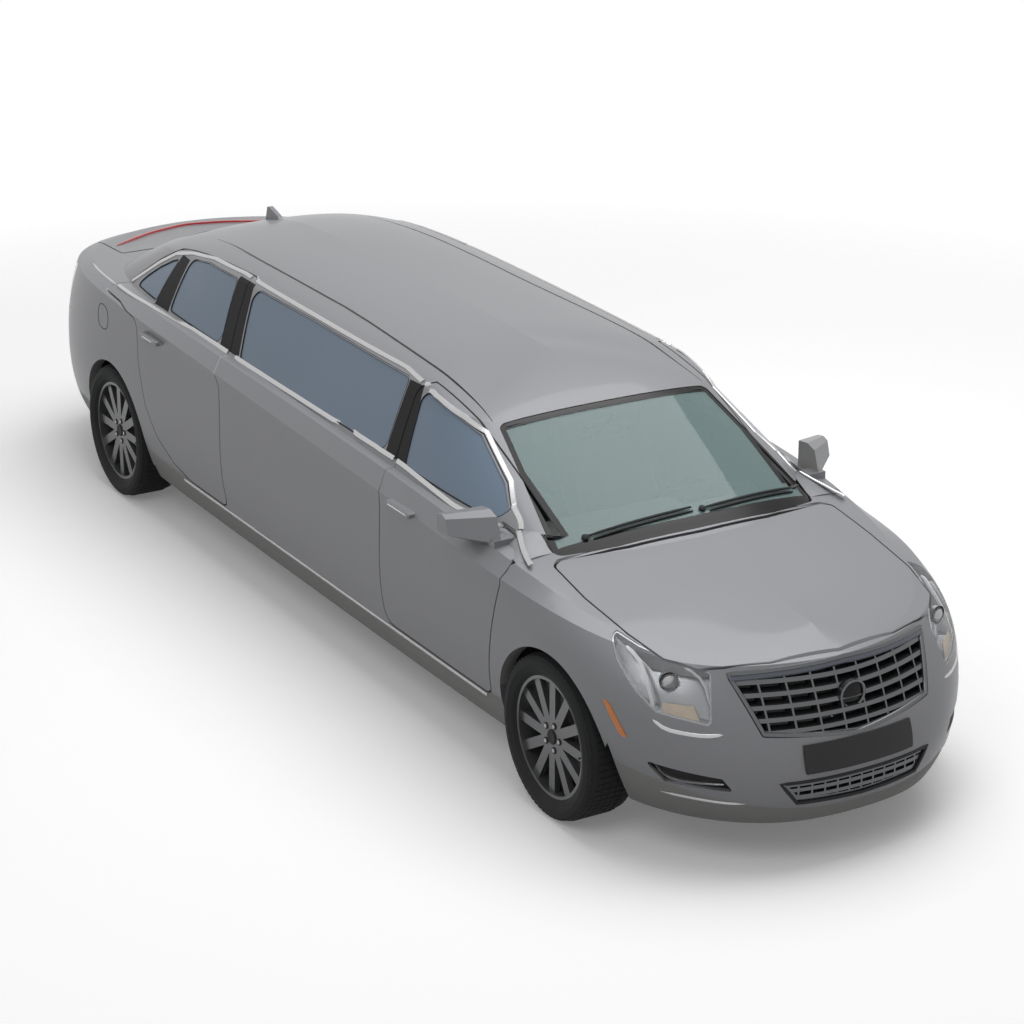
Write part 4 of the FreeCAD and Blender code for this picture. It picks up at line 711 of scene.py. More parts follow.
def grow(name, tree, body, material, values, paths=(), closed=False):
    # runs a tree on a line (or on nothing) and keeps the result as a plain mesh
    piece = bpy.data.objects.new(name, lineMesh(name, paths, closed))
    scene.collection.objects.link(piece)
    modifier = piece.modifiers.new("grow", "NODES")
    modifier.node_group = tree
    values = dict(values, Finish=materials[material])
    for item in tree.interface.items_tree:
        if item.item_type == "SOCKET" and item.in_out == "INPUT" and item.name in values:
            modifier[item.identifier] = values[item.name]
    mesh = applied(piece)
    mesh.name = name
    if not mesh.materials:
        mesh.materials.append(materials[material])
    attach(piece, body)


def mirrorPath(path):
    return [(mirrored(spot), mirrored(normal)) for spot, normal in path]


# A star stands for right and left.
dress = {
    "paint": "roof_panel front_fenders front_bumper rear_bumper rear_scuttle bonnet boot_lid mirror_*",
    "paintSide": "side_panel_*", "paintDoor": "door_front_* door_rear_*",
    "glassFront": "windscreen rear_window", "glassSide": "side_glass glass_front_* glass_rear_*",
    "grille": "grille_upper grille_lower", "blackMatt": "fog_recess steering_wheel", "bowl": "headlamp_bowls",
    "lens": "headlamp_lenses", "red": "tail_lamps", "trim": "dashboard", "lacquer": "bar_cabinet", "steel": "exhaust",
    "cast": "engine_block front_subframe rear_axle knuckle_*", "lining": "rear_bulkhead",
    "under": "floor_pan firewall fuel_tank wheel_liners_front wheel_liners_rear",
    "leather": "front_seats rear_seats", "tyre": "tyre_front_* tyre_rear_*", "wheel": "rim_front_* rim_rear_*",
}


def dressNodes():
    for key, names in dress.items():
        for name in names.split():
            for side in ("right", "left"):
                mesh = nodes[name.replace("*", side)].data
                mesh.materials.clear()
                mesh.materials.append(materials[key])


def floorMaterial():
    # white to the camera and darker for the light it gives back; fades out towards the horizon
    material = finish("studioFloor", studio["floorGives"], 0.9, 0.0, 2.0, 0.01, 0.0)
    tree = material.node_tree
    shader = tree.nodes["Principled BSDF"]
    place = separated(tree)
    away = length(tree, place["X"], place["Y"])
    tree.links.new(remap(tree, away, 1.0, 0.0, studio["floorClear"], studio["floorGone"]), shader.inputs["Alpha"])
    shader.inputs["Emission Color"].default_value = (1, 1, 1, 1)
    tree.links.new(calc(tree, "MULTIPLY", seenRays(tree), studio["floorGlow"]), shader.inputs["Emission Strength"])
    tinted(material, seenRays(tree), studio["floorSeen"])
    return material


floor = buildStudio()
floor.data.materials.append(floorMaterial())
dressNodes()
print("nodes dressed")


trims = {
    "width": 0.024, "height": 0.006, "seal": 0.0045, "sealOut": 0.001, "step": 0.03, "fine": 0.02,
    "splits": (1.47, 3.20), "gap": 0.006, "end": 9, "leans": {"top": (0.042, 0.090), "belt": (-0.015, -0.035)},
    "glassStep": 0.004, "glassOver": 0.001, "rimFacing": 0.45, "fromRim": 0.011, "cornerEnd": 0.036,
    "top": [(1.47, 1.406), (1.546, 1.412), (1.704, 1.425), (2.205, 1.430), (2.57, 1.4345), (2.858, 1.437),
            (3.218, 1.4395), (3.385, 1.441), (3.74, 1.428), (3.98, 1.399), (4.16, 1.357), (4.30, 1.28), (4.40, 1.21),
            (4.50, 1.140)],
    "belt": [(0.52, 1.043), (0.60, 1.050), (0.92, 1.053), (1.136, 1.075), (1.362, 1.094), (1.48, 1.100),
             (2.2155, 1.110), (3.054, 1.120), (3.30, 1.124), (4.11, 1.128), (4.297, 1.128), (4.50, 1.128)],
    # the shoulder line carries a bright strip that is a painted highlight
    "shoulder": [(4.53, 1.126), (4.75, 1.124), (4.98, 1.120)],
    "rocker": [(0.52, 0.338), (2.0, 0.338), (3.60, 0.338)],
}
sideBodies = {"front": ("door_front_right", "door_front_left"), "rear": ("door_rear_right", "door_rear_left"),
              "mid": onBody}
windows = {"front": "glass_front_right", "mid": "side_glass", "rear": "glass_rear_right"}


def levelled(points):
    # lays points on the side; over a window the line stays level with the frame round it
    placed = []
    for point in points:
        start = (point.x, -farOut, point.z)
        skin, pane = cast("side", start, sideIn), cast("panes", start, sideIn)
        onGlass = pane is not None and (skin is None or skin[0].y > pane[0].y - trims["glassOver"])
        found = pane if onGlass else skin
        if found is not None:
            normal = found[1] if found[1].y < 0 else -found[1]
            placed.append((found[0] + normal * (trims["glassStep"] if onGlass else 0.0), normal))
    for _ in range(3):
        middle = [(Vector((b[0].x, (a[0].y + 2 * b[0].y + c[0].y) / 4, b[0].z)), (a[1] + 2 * b[1] + c[1]).normalized())
                  for a, b, c in zip(placed, placed[1:], placed[2:])]
        placed = placed[:1] + middle + placed[-1:]
    return placed


def sideLine(points, step=trims["step"], rounds=0):
    # points: (metres behind the front axle, height) on the car's right side
    return levelled(evenly(softened([at(back, 0, z) for back, z in points], rounds), step))


def paneRims(name, outward=(0, -1, 0), most=trims["rimFacing"]):
    # the outer edges of the panes that face that way, of windows only the right ones: closed rows of (place, normal)
    builder = bmesh.new()
    builder.from_mesh(nodes[name].data)
    bmesh.ops.remove_doubles(builder, verts=builder.verts, dist=1e-5)
    builder.normal_update()
    heading = Vector(outward).normalized()
    links = {}
    for edge in builder.edges:
        facing = [face.normal.dot(heading) > most for face in edge.link_faces]
        if len(facing) == 2 and facing[0] != facing[1] and (heading.y == 0 or edge.verts[0].co.y < 0):
            a, b = edge.verts
            normal = edge.link_faces[facing.index(True)].normal.copy()
            links.setdefault(a.index, []).append((b.index, normal))
            links.setdefault(b.index, []).append((a.index, normal))
    spots = [vert.co.copy() for vert in builder.verts]
    builder.free()
    rims = []
    while links:
        rim, current = [], min(links)
        while current in links:
            neighbours = links.pop(current)
            rim.append((spots[current], neighbours[0][1]))
            current = next((index for index, _ in neighbours if index in links), None)
        if len(rim) > 8:
            rims.append(rim)
    return rims


def topOfRim(rim, reach):
    # a pane's upper edge from its foremost point to its highest rear corner, moved outwards from the glass
    count = len(rim)
    first = max(range(count), key=lambda i: rim[i][0].x)
    last = max(range(count), key=lambda i: rim[i][0].z * 3 - rim[i][0].x)
    ways = [[rim[(first + i * sign) % count][0] for i in range((last - first) * sign % count + 1)] for sign in (1, -1)]
    way = evenly(max(ways, key=lambda spots: sum(spot.z for spot in spots) / len(spots)), trims["fine"])
    moved = []
    for i, spot in enumerate(way):
        along = way[min(i + 1, len(way) - 1)] - way[max(i - 1, 0)]
        moved.append(Vector((spot.x, 0, spot.z)) + Vector((-along.z, 0, along.x)).normalized() * -reach)
    return moved


def cutLine(points, low, high):
    # the part of a line between two places along the car
    steps = 8
    made = [(x0 + (x1 - x0) * i / steps, z0 + (z1 - z0) * i / steps)
            for (x0, z0), (x1, z1) in zip(points, points[1:]) for i in range(steps)]
    return [p for p in made + points[-1:] if low <= p[0] <= high]


foot = {
    "inner": [(0.350, -0.660, 1.0015), (0.384, -0.660, 1.012), (0.420, -0.657, 1.034), (0.462, -0.657, 1.056),
              (0.500, -0.686, 1.056), (0.545, -0.726, 1.050), (0.605, -0.758, 1.050)],
    "outer": [(0.350, -0.828, 0.986), (0.384, -0.828, 0.991), (0.420, -0.806, 0.999), (0.462, -0.792, 1.004),
              (0.500, -0.790, 1.008), (0.545, -0.790, 1.014), (0.605, -0.790, 1.021)],
    "bulge": 0.007, "rows": 8, "wall": 0.004, "stripLift": 0.003, "stripFaces": (0.25, -0.55, 0.8),
    "stripBody": [(0.291, -0.800, 0.994), (0.345, -0.787, 1.001), (0.400, -0.771, 1.014), (0.450, -0.752, 1.026),
                  (0.522, -0.722, 1.050)],
    "stripDoor": [(0.530, 1.056), (0.558, 1.080)],
}


def buildSideTrim():
    section, gap = strip(trims["width"], trims["height"]), trims["gap"]
    leader = [at(back, 0, z) for back, z in foot["stripDoor"]]
    corner = topOfRim(paneRims(windows["front"])[0], trims["fromRim"])
    corner = levelled(evenly(softened(leader + corner[3:]), trims["fine"]))
    corner = [pair for pair in corner if frontAxle - pair[0].x < trims["splits"][0] + trims["cornerEnd"]]
    addPair("frameCorner", sweep(corner, section), sideBodies["front"], "chrome")
    for key, name in (("top", "frame"), ("belt", "belt")):
        front, rear = [split + lean for split, lean in zip(trims["splits"], trims["leans"][key])]
        ends = {"front": (0, front - gap), "mid": (front + gap, rear - gap), "rear": (rear + gap, trims["end"])}
        for part, span in ends.items():
            path = sideLine(cutLine(trims[key], *span))
            if len(path) > 3:
                addPair(name + part.capitalize(), sweep(path, section), sideBodies[part], "chrome")
    # painted highlight: a bright strip along the rear shoulder where there is only an edge of reflected light
    shoulder = sideLine(trims["shoulder"], rounds=1)
    addPair("shoulderHighlightStrip", sweep(shoulder, strip(0.012, 0.003), taper=0.5), onBody, "chrome")
    addPair("rockerStrip", sweep(sideLine(trims["rocker"], 0.04), strip(0.016, 0.005)), onBody, "chrome")
    for part, glass in windows.items():
        right = [[(spot + normal * trims["sealOut"], normal) for spot, normal in rim] for rim in paneRims(glass)]
        left = [mirrorPath(rim) for rim in right]
        for side, body, paths in zip(("Right", "Left"), sideBodies[part], (right, left)):
            name = "windowSeal" + part.capitalize() + side
            grow(name, beadOnLine, body, "rubber", {"Radius": trims["seal"]}, paths, True)


def buildPillarFoot():
    # closes the corner between screen, wing and door, and carries the foot of the bright frame
    rows, tops = foot["rows"], []
    for inner, outer in zip(places(foot["inner"]), places(foot["outer"])):
        for share in [j / rows for j in range(rows + 1)]:
            tops.append(inner.lerp(outer, share) + Vector((0, 0, foot["bulge"] * math.sin(math.pi * share))))
    lows = [spot - Vector((0, 0, foot["wall"])) for spot in tops]
    addPair("pillarFoot", plate(tops, lows, rows, len(foot["inner"]) - 1), onBody, "paint")
    lift, normal = Vector((0, 0, foot["stripLift"])), Vector(foot["stripFaces"]).normalized()
    path = [(spot + lift, normal) for spot in softened(places(foot["stripBody"]))]
    addPair("frameFoot", sweep(path, strip(trims["width"], trims["height"]), taper=0.3), onBody, "chrome")


details = {
    "flap": [(4.455, 0, 1.03), (4.60, 0, 1.03), (4.60, 0, 0.90), (4.455, 0, 0.90)],
    "flapGap": 0.003, "flapSunk": 0.0015,
    "handles": {"front": [(1.112, 0.972), (1.283, 0.972)], "rear": [(3.757, 1.025), (3.923, 1.025)]},
    "marker": [(-0.365, 0, 0.672), (-0.405, 0, 0.655), (-0.492, 0, 0.535), (-0.462, 0, 0.535)],
    "sail": [(0.455, 0, 1.032), (0.625, 0, 1.064), (0.62, 0, 1.068), (0.575, 0, 1.058)],
    "glass": [(0.674, -0.839, 1.022), (0.758, -0.972, 1.046), (0.674, -0.839, 1.126), (0.758, -0.972, 1.098)],
    "glassWall": 0.004, "glassFaces": (1, 0.6, 0),
    "line": [(0.590, -0.842, 1.004), (0.650, -0.90, 1.016), (0.702, -0.972, 1.033)],
}


def buildSideDetails():
    # fuel flap, bright inlays of the door handles, side markers, sails, and each mirror's glass and bright line
    path = drape(softened(places(details["flap"]), 3, True), "side", sideIn, -details["flapSunk"])
    grow("fuelFlapGap", beadOnLine, "body", "rubber", {"Radius": details["flapGap"]}, [path], True)
    for part, line in details["handles"].items():
        shape = sweep(sideLine(line, trims["fine"]), strip(0.009, 0.002), taper=0.3)
        addPair("handle" + part.capitalize() + "Inlay", shape, sideBodies[part], "chrome")
    addPair("sideMarker", patch(details["marker"], "side", sideIn, 6, 12, 0.003, 0.006, 0.3), onBody, "amber")
    addPair("mirrorSail", patch(details["sail"], "side", sideIn, 6, 4, 0.003, 0.005), sideBodies["front"], "trim")
    face, push = places(details["glass"]), Vector(details["glassFaces"]).normalized() * details["glassWall"]
    addPair("mirrorGlass", plate(face, [spot + push for spot in face], 1, 1), sideBodies["front"], "mirror")
    path = [(spot, Vector(down)) for spot in places(details["line"])]
    addPair("mirrorLine", sweep(path, strip(0.010, 0.003)), sideBodies["front"], "chrome")


buildSideTrim()
buildPillarFoot()
buildSideDetails()
print("sides done")


def laid(points, skin, heading, step=0.03, lift=0.0, rounds=0):
    # a line of places, rounded and laid on a skin
    return drape(evenly(softened(places(points), rounds), step), skin, heading, lift)


def bar(half, low, high, upper=None):
    # a bar's section, with another half width above where it is given
    upper = half if upper is None else upper
    return [(-half, low), (half, low), (upper, high), (-upper, high)]


roof = {
    "ditch": [(1.044, 0.545), (1.182, 0.532), (1.309, 0.527), (1.43, 0.525), (1.75, 0.516), (2.458, 0.480),
              (2.824, 0.482), (3.339, 0.4785), (3.60, 0.468), (3.812, 0.450), (4.05, 0.440)],
    "ditchWidth": 0.011, "above": 1.5,
    "film": 0.0012, "filmSunk": 0.001, "headWidth": 0.050, "rimWidth": 0.026, "sideWidth": 0.034, "footWidth": 0.062,
    "head": [(0.990, y, 1.36) for y in (-0.52, -0.3, 0.0, 0.3, 0.52)],
    "side": [(0.345, -0.640, 1.02), (0.66, -0.592, 1.19), (0.985, -0.535, 1.345)], "sideSunk": 0.0015,
    "foot": [(0.322, -0.635, 1.02), (0.310, -0.50, 1.02), (0.300, -0.25, 1.02), (0.297, 0, 1.02)],
    "heaters": 9, "heaterAt": (4.47, 0.36, 1.40), "heaterStep": (0.05, 0.007, -0.025), "heaterIn": (0.37, 0, -0.93),
    "heaterRadius": 0.0007, "heaterLift": 0.0006,
}


def buildRoof():
    line = [(back, -y, roof["above"]) for back, y in roof["ditch"]]
    shape = sweep(laid(line, "top", down, rounds=1), strip(roof["ditchWidth"], 0.0015, 0.001), taper=0.7)
    addPair("roofDitch", shape, onBody, "blackGloss")
    # black border printed on the windscreen: head, rim, sides and foot
    film, sunk = roof["film"], roof["filmSunk"]
    head = laid(roof["head"], "windscreen", glassIn, 0.04)
    addPiece("screenHead", *sweep(head, strip(roof["headWidth"], film, sunk)), "body", "blackGloss")
    for number, rim in enumerate(paneRims("windscreen", (0.44, 0, 0.9), 0.6)):
        middle = sum((spot for spot, _ in rim), Vector()) / len(rim)
        spot, normal = rim[0]
        inwards = 1 if (rim[1][0] - spot).cross(normal).dot(middle - spot) > 0 else -1
        wide = inwards * roof["rimWidth"]
        border = [(0, -sunk), (wide, -sunk), (wide, film), (0, film)]
        addPiece("screenBorder" + "ABC"[number], *sweep(rim, border, closed=True), "body", "blackGloss")
    side = laid(roof["side"], "windscreen", glassIn, lift=-roof["sideSunk"])
    addPair("screenSide", sweep(side, strip(roof["sideWidth"], film, sunk)), onBody, "blackGloss")
    low = drape(evenly(acrossCar(places(roof["foot"])), 0.04), "windscreen", glassIn)
    addPiece("screenFoot", *sweep(low, strip(roof["footWidth"], film, sunk)), "body", "blackGloss")
    # heater lines in the rear window
    lines = []
    for i in range(roof["heaters"]):
        back, half, rise = [start + i * step for start, step in zip(roof["heaterAt"], roof["heaterStep"])]
        line = [(back, -half, rise), (back, half, rise)]
        lines.append(laid(line, "rearWindow", roof["heaterIn"], 0.06, roof["heaterLift"]))
    lines = [line for line in lines if len(line) > 1]
    grow("screenHeater", beadOnLine, "body", "trim", {"Radius": roof["heaterRadius"]}, lines)


wipers = {
    "Right": [(0.345, -0.50, 1.05), (0.365, 0.03, 1.05)], "Left": [(0.345, 0.08, 1.05), (0.385, 0.575, 1.05)],
    "ahead": 0.022, "bladeFrom": 0.06, "taper": 0.4, "armLift": 0.010, "bladeLift": 0.001,
    "hub": [(0.004, -0.002), (0.016, 0.000), (0.016, 0.010), (0.010, 0.015), (0.002, 0.016)],
}


def buildWipers():
    # arm, blade and hub of each wiper, lying just above the screen's foot
    for name in ("Right", "Left"):
        ends, ahead = places(wipers[name]), Vector((wipers["ahead"], 0, 0))
        arm = drape(evenly(ends, 0.04), "windscreen", glassIn, wipers["armLift"])
        blade = [ends[0].lerp(ends[1], wipers["bladeFrom"]) + ahead, ends[1] + ahead]
        blade = drape(evenly(blade, 0.04), "windscreen", glassIn, wipers["bladeLift"])
        hub = drape(ends[:1], "windscreen", glassIn)[0]
        shape = joined(sweep(arm, bar(0.006, -0.003, 0.004, 0.004), taper=wipers["taper"]),
                       sweep(blade, bar(0.005, 0.0, 0.010, 0.003), taper=wipers["taper"]),
                       lathe(wipers["hub"], *hub, 24))
        addPiece("wiper" + name, *shape, "body", "blackMatt")


buildRoof()
buildWipers()
print("roof and screen done")


front = {
    "grille": [(-0.790, 0.0, 0.822), (-0.676, -0.474, 0.802), (-0.800, -0.398, 0.583), (-0.874, 0.0, 0.541)],
    "topBar": [(0.010, 0.008, -0.014), (0.006, 0, -0.014)],
    "lowerGrille": [(-0.93, 0.0, 0.388), (-0.90, -0.362, 0.388), (-0.91, -0.292, 0.296), (-0.94, 0.0, 0.286)],
    "badgeRadius": 0.062, "badgeHeight": 0.683, "badgeOut": 0.004,
    "plate": [(-0.93, -0.262, 0.418), (-0.93, 0.262, 0.418), (-0.93, 0.262, 0.533), (-0.93, -0.262, 0.533)],
    # the white strip inside the headlamp is a painted highlight
    "lampWhiteAndHighlight": [(-0.345, -0.736, 0.869), (-0.396, -0.738, 0.852), (-0.446, -0.734, 0.825), (-0.511, -0.744, 0.757),
                   (-0.547, -0.747, 0.705), (-0.564, -0.752, 0.665)],
    "projector": [(-0.573, -0.674, 0.766)], "projectorAim": (1, -0.25, -0.05), "projectorSunk": 0.030,
    "projectorShape": [(0.034, -0.020), (0.037, 0.002), (0.033, 0.006), (0.029, 0.000), (0.026, 0.008), (0.015, 0.015),
                       (0.002, 0.018)],
    "projectorRing": [(0.038, 0.000), (0.040, 0.007), (0.036, 0.009), (0.034, 0.002)],
    "reflector": [(-0.576, -0.723, 0.701), (-0.664, -0.625, 0.695), (-0.702, -0.614, 0.626), (-0.604, -0.722, 0.642)],
    # a pale bar along the headlamp's top inner corner, a painted highlight
    "lampHighlightBar": [(-0.480, -0.640, 0.842), (-0.560, -0.590, 0.826), (-0.640, -0.560, 0.780), (-0.690, -0.565, 0.700)],
    "lampSill": [(-0.572, -0.757, 0.632), (-0.619, -0.726, 0.600), (-0.676, -0.669, 0.590), (-0.727, -0.609, 0.584),
                 (-0.762, -0.550, 0.590)],
    "fogStrip": [(-0.560, -0.735, 0.446), (-0.580, -0.715, 0.400), (-0.625, -0.680, 0.378), (-0.690, -0.620, 0.378),
                 (-0.770, -0.545, 0.381)],
    "chinStrip": [(-0.588, -0.723, 0.318), (-0.691, -0.648, 0.314), (-0.774, -0.561, 0.306), (-0.834, -0.483, 0.304)],
}


def buildGrilles():
    right = places(front["grille"])
    top = [corner + Vector(move) for corner, move in zip((right[1], right[0]), front["topBar"])]
    low = places(front["lowerGrille"])

    def edge(name, points, section, material, closed=True):
        path = drape(evenly(acrossCar(points), 0.025, closed), "nose", noseIn)
        addPiece(name, *sweep(path, section, closed), "body", material)

    edge("grilleFrame", right, strip(0.020, 0.007, 0.006), "grille")
    edge("grilleTopBar", top, strip(0.034, 0.010, 0.008), "grilleBar", False)
    # the badge's place is kept as a bare ring over a plain dark disc
    height, outer = front["badgeHeight"], front["badgeRadius"]
    ahead = cast("nose", at(-1.5, 0.0, height), noseIn)[0].x + front["badgeOut"]
    middle, inner = Vector((ahead, 0, height)), outer - 0.012
    ring = [(outer, -0.012), (outer, 0.006), (outer - 0.006, 0.011), (inner, 0.006), (inner, -0.012)]
    addPiece("badgeRing", *lathe(ring, middle, (1, 0, 0), 64, True), "body", "grille")
    disc = [(0.001, 0.002), (0.03, 0.001), (outer - 0.011, -0.002), (outer - 0.011, -0.010)]
    addPiece("badgeDisc", *lathe(disc, middle, (1, 0, 0)), "body", "blackGloss")
    edge("lowerGrilleFrame", low, strip(0.014, 0.004, 0.004), "blackMatt")
    addPiece("frontPlate", *patch(front["plate"], "nose", noseIn, 20, 6, 0.010, 0.008, 0.06), "body", "plate")


def lampLine(name, section, taper, material, lift=0.0):
    # a bar or strip at a lamp or below it, on both sides
    path = laid(front[name], "nose", lampIn, 0.02, lift, 1)
    addPair(name, sweep(path, section, taper=taper), onBody, material)


def buildLamps():
    # painted highlight: a white strip along the headlamp's outer edge
    lampLine("lampWhiteAndHighlight", bar(0.008, -0.006, 0.004), 0.5, "white", -0.012)
    aim = Vector(front["projectorAim"]).normalized()
    eye = drape(places(front["projector"]), "nose", lampIn)[0][0] - aim * front["projectorSunk"]
    addPair("projector", lathe(front["projectorShape"], eye, aim, 40), onBody, "steel")
    addPair("projectorRing", lathe(front["projectorRing"], eye, aim, 40, True), onBody, "blackGloss")
    addPair("reflector", patch(front["reflector"], "nose", lampIn, 10, 6, -0.014, 0.004, 0.1), onBody, "beige")
    # painted highlight: a pale bar along the lamp's top inner corner
    lampLine("lampHighlightBar", bar(0.005, -0.010, 0.002), 0.5, "lacquer", -0.012)
    lampLine("lampSill", strip(0.016, 0.003), 0.9, "chrome")
    lampLine("fogStrip", strip(0.012, 0.005, 0.006), 0.5, "chrome", 0.004)
    lampLine("chinStrip", strip(0.012, 0.003), 0.9, "chrome")


buildGrilles()
buildLamps()
print("nose done")


# lines on the tail are laid from this far behind the front axle
behind = 6.0
rear = {
    "brakeLamp": [(back, y, 1.122) for back, y in ((5.25, -0.50), (5.39, -0.25), (5.425, -0.12), (5.455, 0.0),
                                                   (5.425, 0.12), (5.39, 0.25), (5.25, 0.50))],
    "brakeIn": (0.75, 0, -0.66),
    "plate": [(behind, -0.26, 0.860), (behind, 0.26, 0.860), (behind, 0.26, 0.985), (behind, -0.26, 0.985)],
    "handle": [(behind, y, 1.012) for y in (-0.30, -0.15, 0, 0.15, 0.30)],
    "reverse": [(behind, -0.60, 0.870), (behind, -0.72, 0.875)],
    "ribs": [0.925 + 0.034 * i for i in range(5)], "ribEnds": (0.585, 0.74), "ribRadius": 0.0022, "ribLift": 0.0008,
    "diffuser": [(behind, y, 0.300) for y in (-0.42, -0.2, 0, 0.2, 0.42)],
    "fins": (-0.30, -0.20, -0.10, 0.0, 0.10, 0.20, 0.30), "finHeights": (0.25, 0.30, 0.35),
    "finRadius": 0.005, "finLift": 0.006,
    "reflector": [(behind, -0.62, 0.455), (behind, -0.74, 0.455), (behind, -0.74, 0.485), (behind, -0.62, 0.485)],
    "pipe": (0.509, 0.345), "abovePipe": 0.056, "tipRadius": 0.047,
}


def buildTail():
    lamp = laid(rear["brakeLamp"], "tail", rear["brakeIn"], rounds=2)
    addPiece("highBrakeLamp", *sweep(lamp, strip(0.018, 0.010, 0.004), taper=0.6), "boot_lid", "red")
    addPiece("rearPlate", *patch(rear["plate"], "tail", tailIn, 20, 6, 0.007, 0.006, 0.06), "boot_lid", "plate")
    handle = laid(rear["handle"], "tail", tailIn)
    addPiece("bootHandleBar", *sweep(handle, strip(0.030, 0.014, 0.004), taper=0.4), "boot_lid", "chrome")
    # lamps: a clear reversing strip and ribs on the red lens
    reverse = laid(rear["reverse"], "tail", tailIn, 0.02)
    addPair("reverseLamp", sweep(reverse, strip(0.030, 0.002, 0.003)), onBody, "white")
    for side, sign in (("Right", -1), ("Left", 1)):
        ribs = [laid([(behind, sign * y, z) for y in rear["ribEnds"]], "tailBoth", tailIn, 0.02, rear["ribLift"])
                for z in rear["ribs"]]
        grow("tailRibs" + side, beadOnLine, "body", "red", {"Radius": rear["ribRadius"]}, ribs)
    diffuser = laid(rear["diffuser"], "tailBoth", tailIn)
    addPiece("diffuser", *sweep(diffuser, strip(0.120, 0.006, 0.004), taper=0.3), "body", "blackMatt")
    fins = [drape([at(behind, y, z) for z in rear["finHeights"]], "tailBoth", tailIn, rear["finLift"])
            for y in rear["fins"]]
    grow("diffuserFins", beadOnLine, "body", "blackMatt", {"Radius": rear["finRadius"]}, fins)
    addPair("rearReflector", patch(rear["reflector"], "tail", tailIn, 8, 3, 0.003, 0.004, 0.2), onBody, "red")
    # bright finishers round the tail pipes
    (reach, height), outer = rear["pipe"], rear["tipRadius"] + 0.008
    inner = rear["tipRadius"] - 0.003
    tip = [(inner + 0.003, -0.020), (outer, -0.004), (outer, 0.006), (inner + 0.005, 0.009), (inner, 0.004),
           (inner, -0.020)]
    for side, sign in (("Right", -1), ("Left", 1)):
        spot, normal = cast("tailBoth", at(behind + 0.2, sign * reach, height + rear["abovePipe"]), tailIn)
        axis = Vector((normal.x, normal.y, 0)).normalized() * (-1 if normal.x > 0 else 1)
        shape = lathe(tip, Vector((spot.x, sign * reach, height)), axis, 40, True)
        addPiece("tipRing" + side, *shape, "body", "chrome")


buildTail()
print("tail done")


wheels = {
    "tread": {"Around": 72, "Radius": 0.3525, "Rows": 5, "Pitch": 0.0325, "Skew": 0.28,
              "Block": (0.005, 0.0255, 0.0275)},
    "shoulder": {"Around": 72, "Radius": 0.3440, "Rows": 2, "Pitch": 0.2040, "Skew": 0.0,
                 "Block": (0.006, 0.0215, 0.0140)},
    "wells": {"Around": 5, "Radius": 0.057, "Rows": 1, "Block": (0.0150, 0.0150, 0.006)},
    "bolts": {"Around": 5, "Radius": 0.057, "Rows": 1, "Block": (0.0095, 0.0095, 0.012)},
    "faceReach": 0.8703, "lipOut": 0.0165, "stemAt": (0.232, 0.006),
    "cap": [(0.032, -0.004), (0.032, 0.004), (0.028, 0.007), (0.022, 0.006), (0.002, 0.005)],
    "lip": [(0.2590, -0.016), (0.2610, -0.006), (0.2580, -0.002), (0.2540, -0.006), (0.2540, -0.016)],
    "stem": [(0.004, -0.02), (0.004, 0.010), (0.0045, 0.012), (0.0045, 0.020), (0.003, 0.022)],
}


def buildWheels():
    for end, axle in (("front", frontAxle), ("rear", rearAxle)):
        for side, sign in (("right", -1), ("left", 1)):
            body, tag = "wheel_%s_%s" % (end, side), end.capitalize() + side.capitalize()
            middle, face = [Vector((axle, sign * y, axleHeight)) for y in (trackHalf, wheels["faceReach"])]
            for name, tree, key, centre, material in (
                    ("tread", treadTree, "tread", middle, "tyre"),
                    ("treadShoulder", treadTree, "shoulder", middle, "tyre"),
                    ("lugWells", studRingTree, "wells", face, "blackMatt"),
                    ("lugBolts", boltTree, "bolts", face, "steel")):
                grow(name + tag, tree, body, material, dict(wheels[key], Centre=tuple(centre)))
            outward = Vector((0, sign, 0))
            along, inwards = wheels["stemAt"]
            stem = face + Vector((along, -sign * inwards, 0))
            lip = lathe(wheels["lip"], face + outward * wheels["lipOut"], outward, 72, True)
            addPiece("hubCap" + tag, *lathe(wheels["cap"], face, outward, 36), body, "blackMatt")
            addPiece("rimLip" + tag, *lip, body, "wheel")
            addPiece("valveStem" + tag, *lathe(wheels["stem"], stem, outward, 12), body, "rubber")


buildWheels()
print("wheels done")


# each seat's tag, node, front edge, middle, width, number of places and half width of its base
seats = {
    "rows": (("Right", "front_seats", 1.430, -0.370, 0.520, 1, 0.18),
             ("Left", "front_seats", 1.430, 0.370, 0.520, 1, 0.18),
             ("Rear", "rear_seats", -0.8927, 0.0, 1.360, 3, 0.47)),
    "floor": 0.2403, "plinth": 0.160, "cushionTop": 0.570, "depth": 0.500, "backDepth": 0.130, "backTop": 1.130,
    "lean": -22.0, "headTop": 1.318, "headBack": 0.2352, "inset": 0.010, "edge": 0.030, "bolster": 0.016,
    "voxel": 0.020, "swell": 0.016, "frames": 20, "seamWidth": 0.011, "seamDepth": 0.006,
    "seamHeights": (0.66, 0.80, 0.94),
    "stitch": {"Spacing": 0.009, "Block": (0.006, 0.0014, 0.0016)}, "stitchSunk": 0.0035,
    "cloth": {"quality": 5, "mass": 0.3, "tension_stiffness": 18, "compression_stiffness": 18, "shear_stiffness": 6,
              "bending_stiffness": 0.6, "use_pressure": True, "uniform_pressure_force": 4.0},
}
lean = Matrix.Rotation(math.radians(seats["lean"]), 3, "Y")


def leant(spot, pivot):
    return lean @ (Vector(spot) - Vector(pivot)) + Vector(pivot)


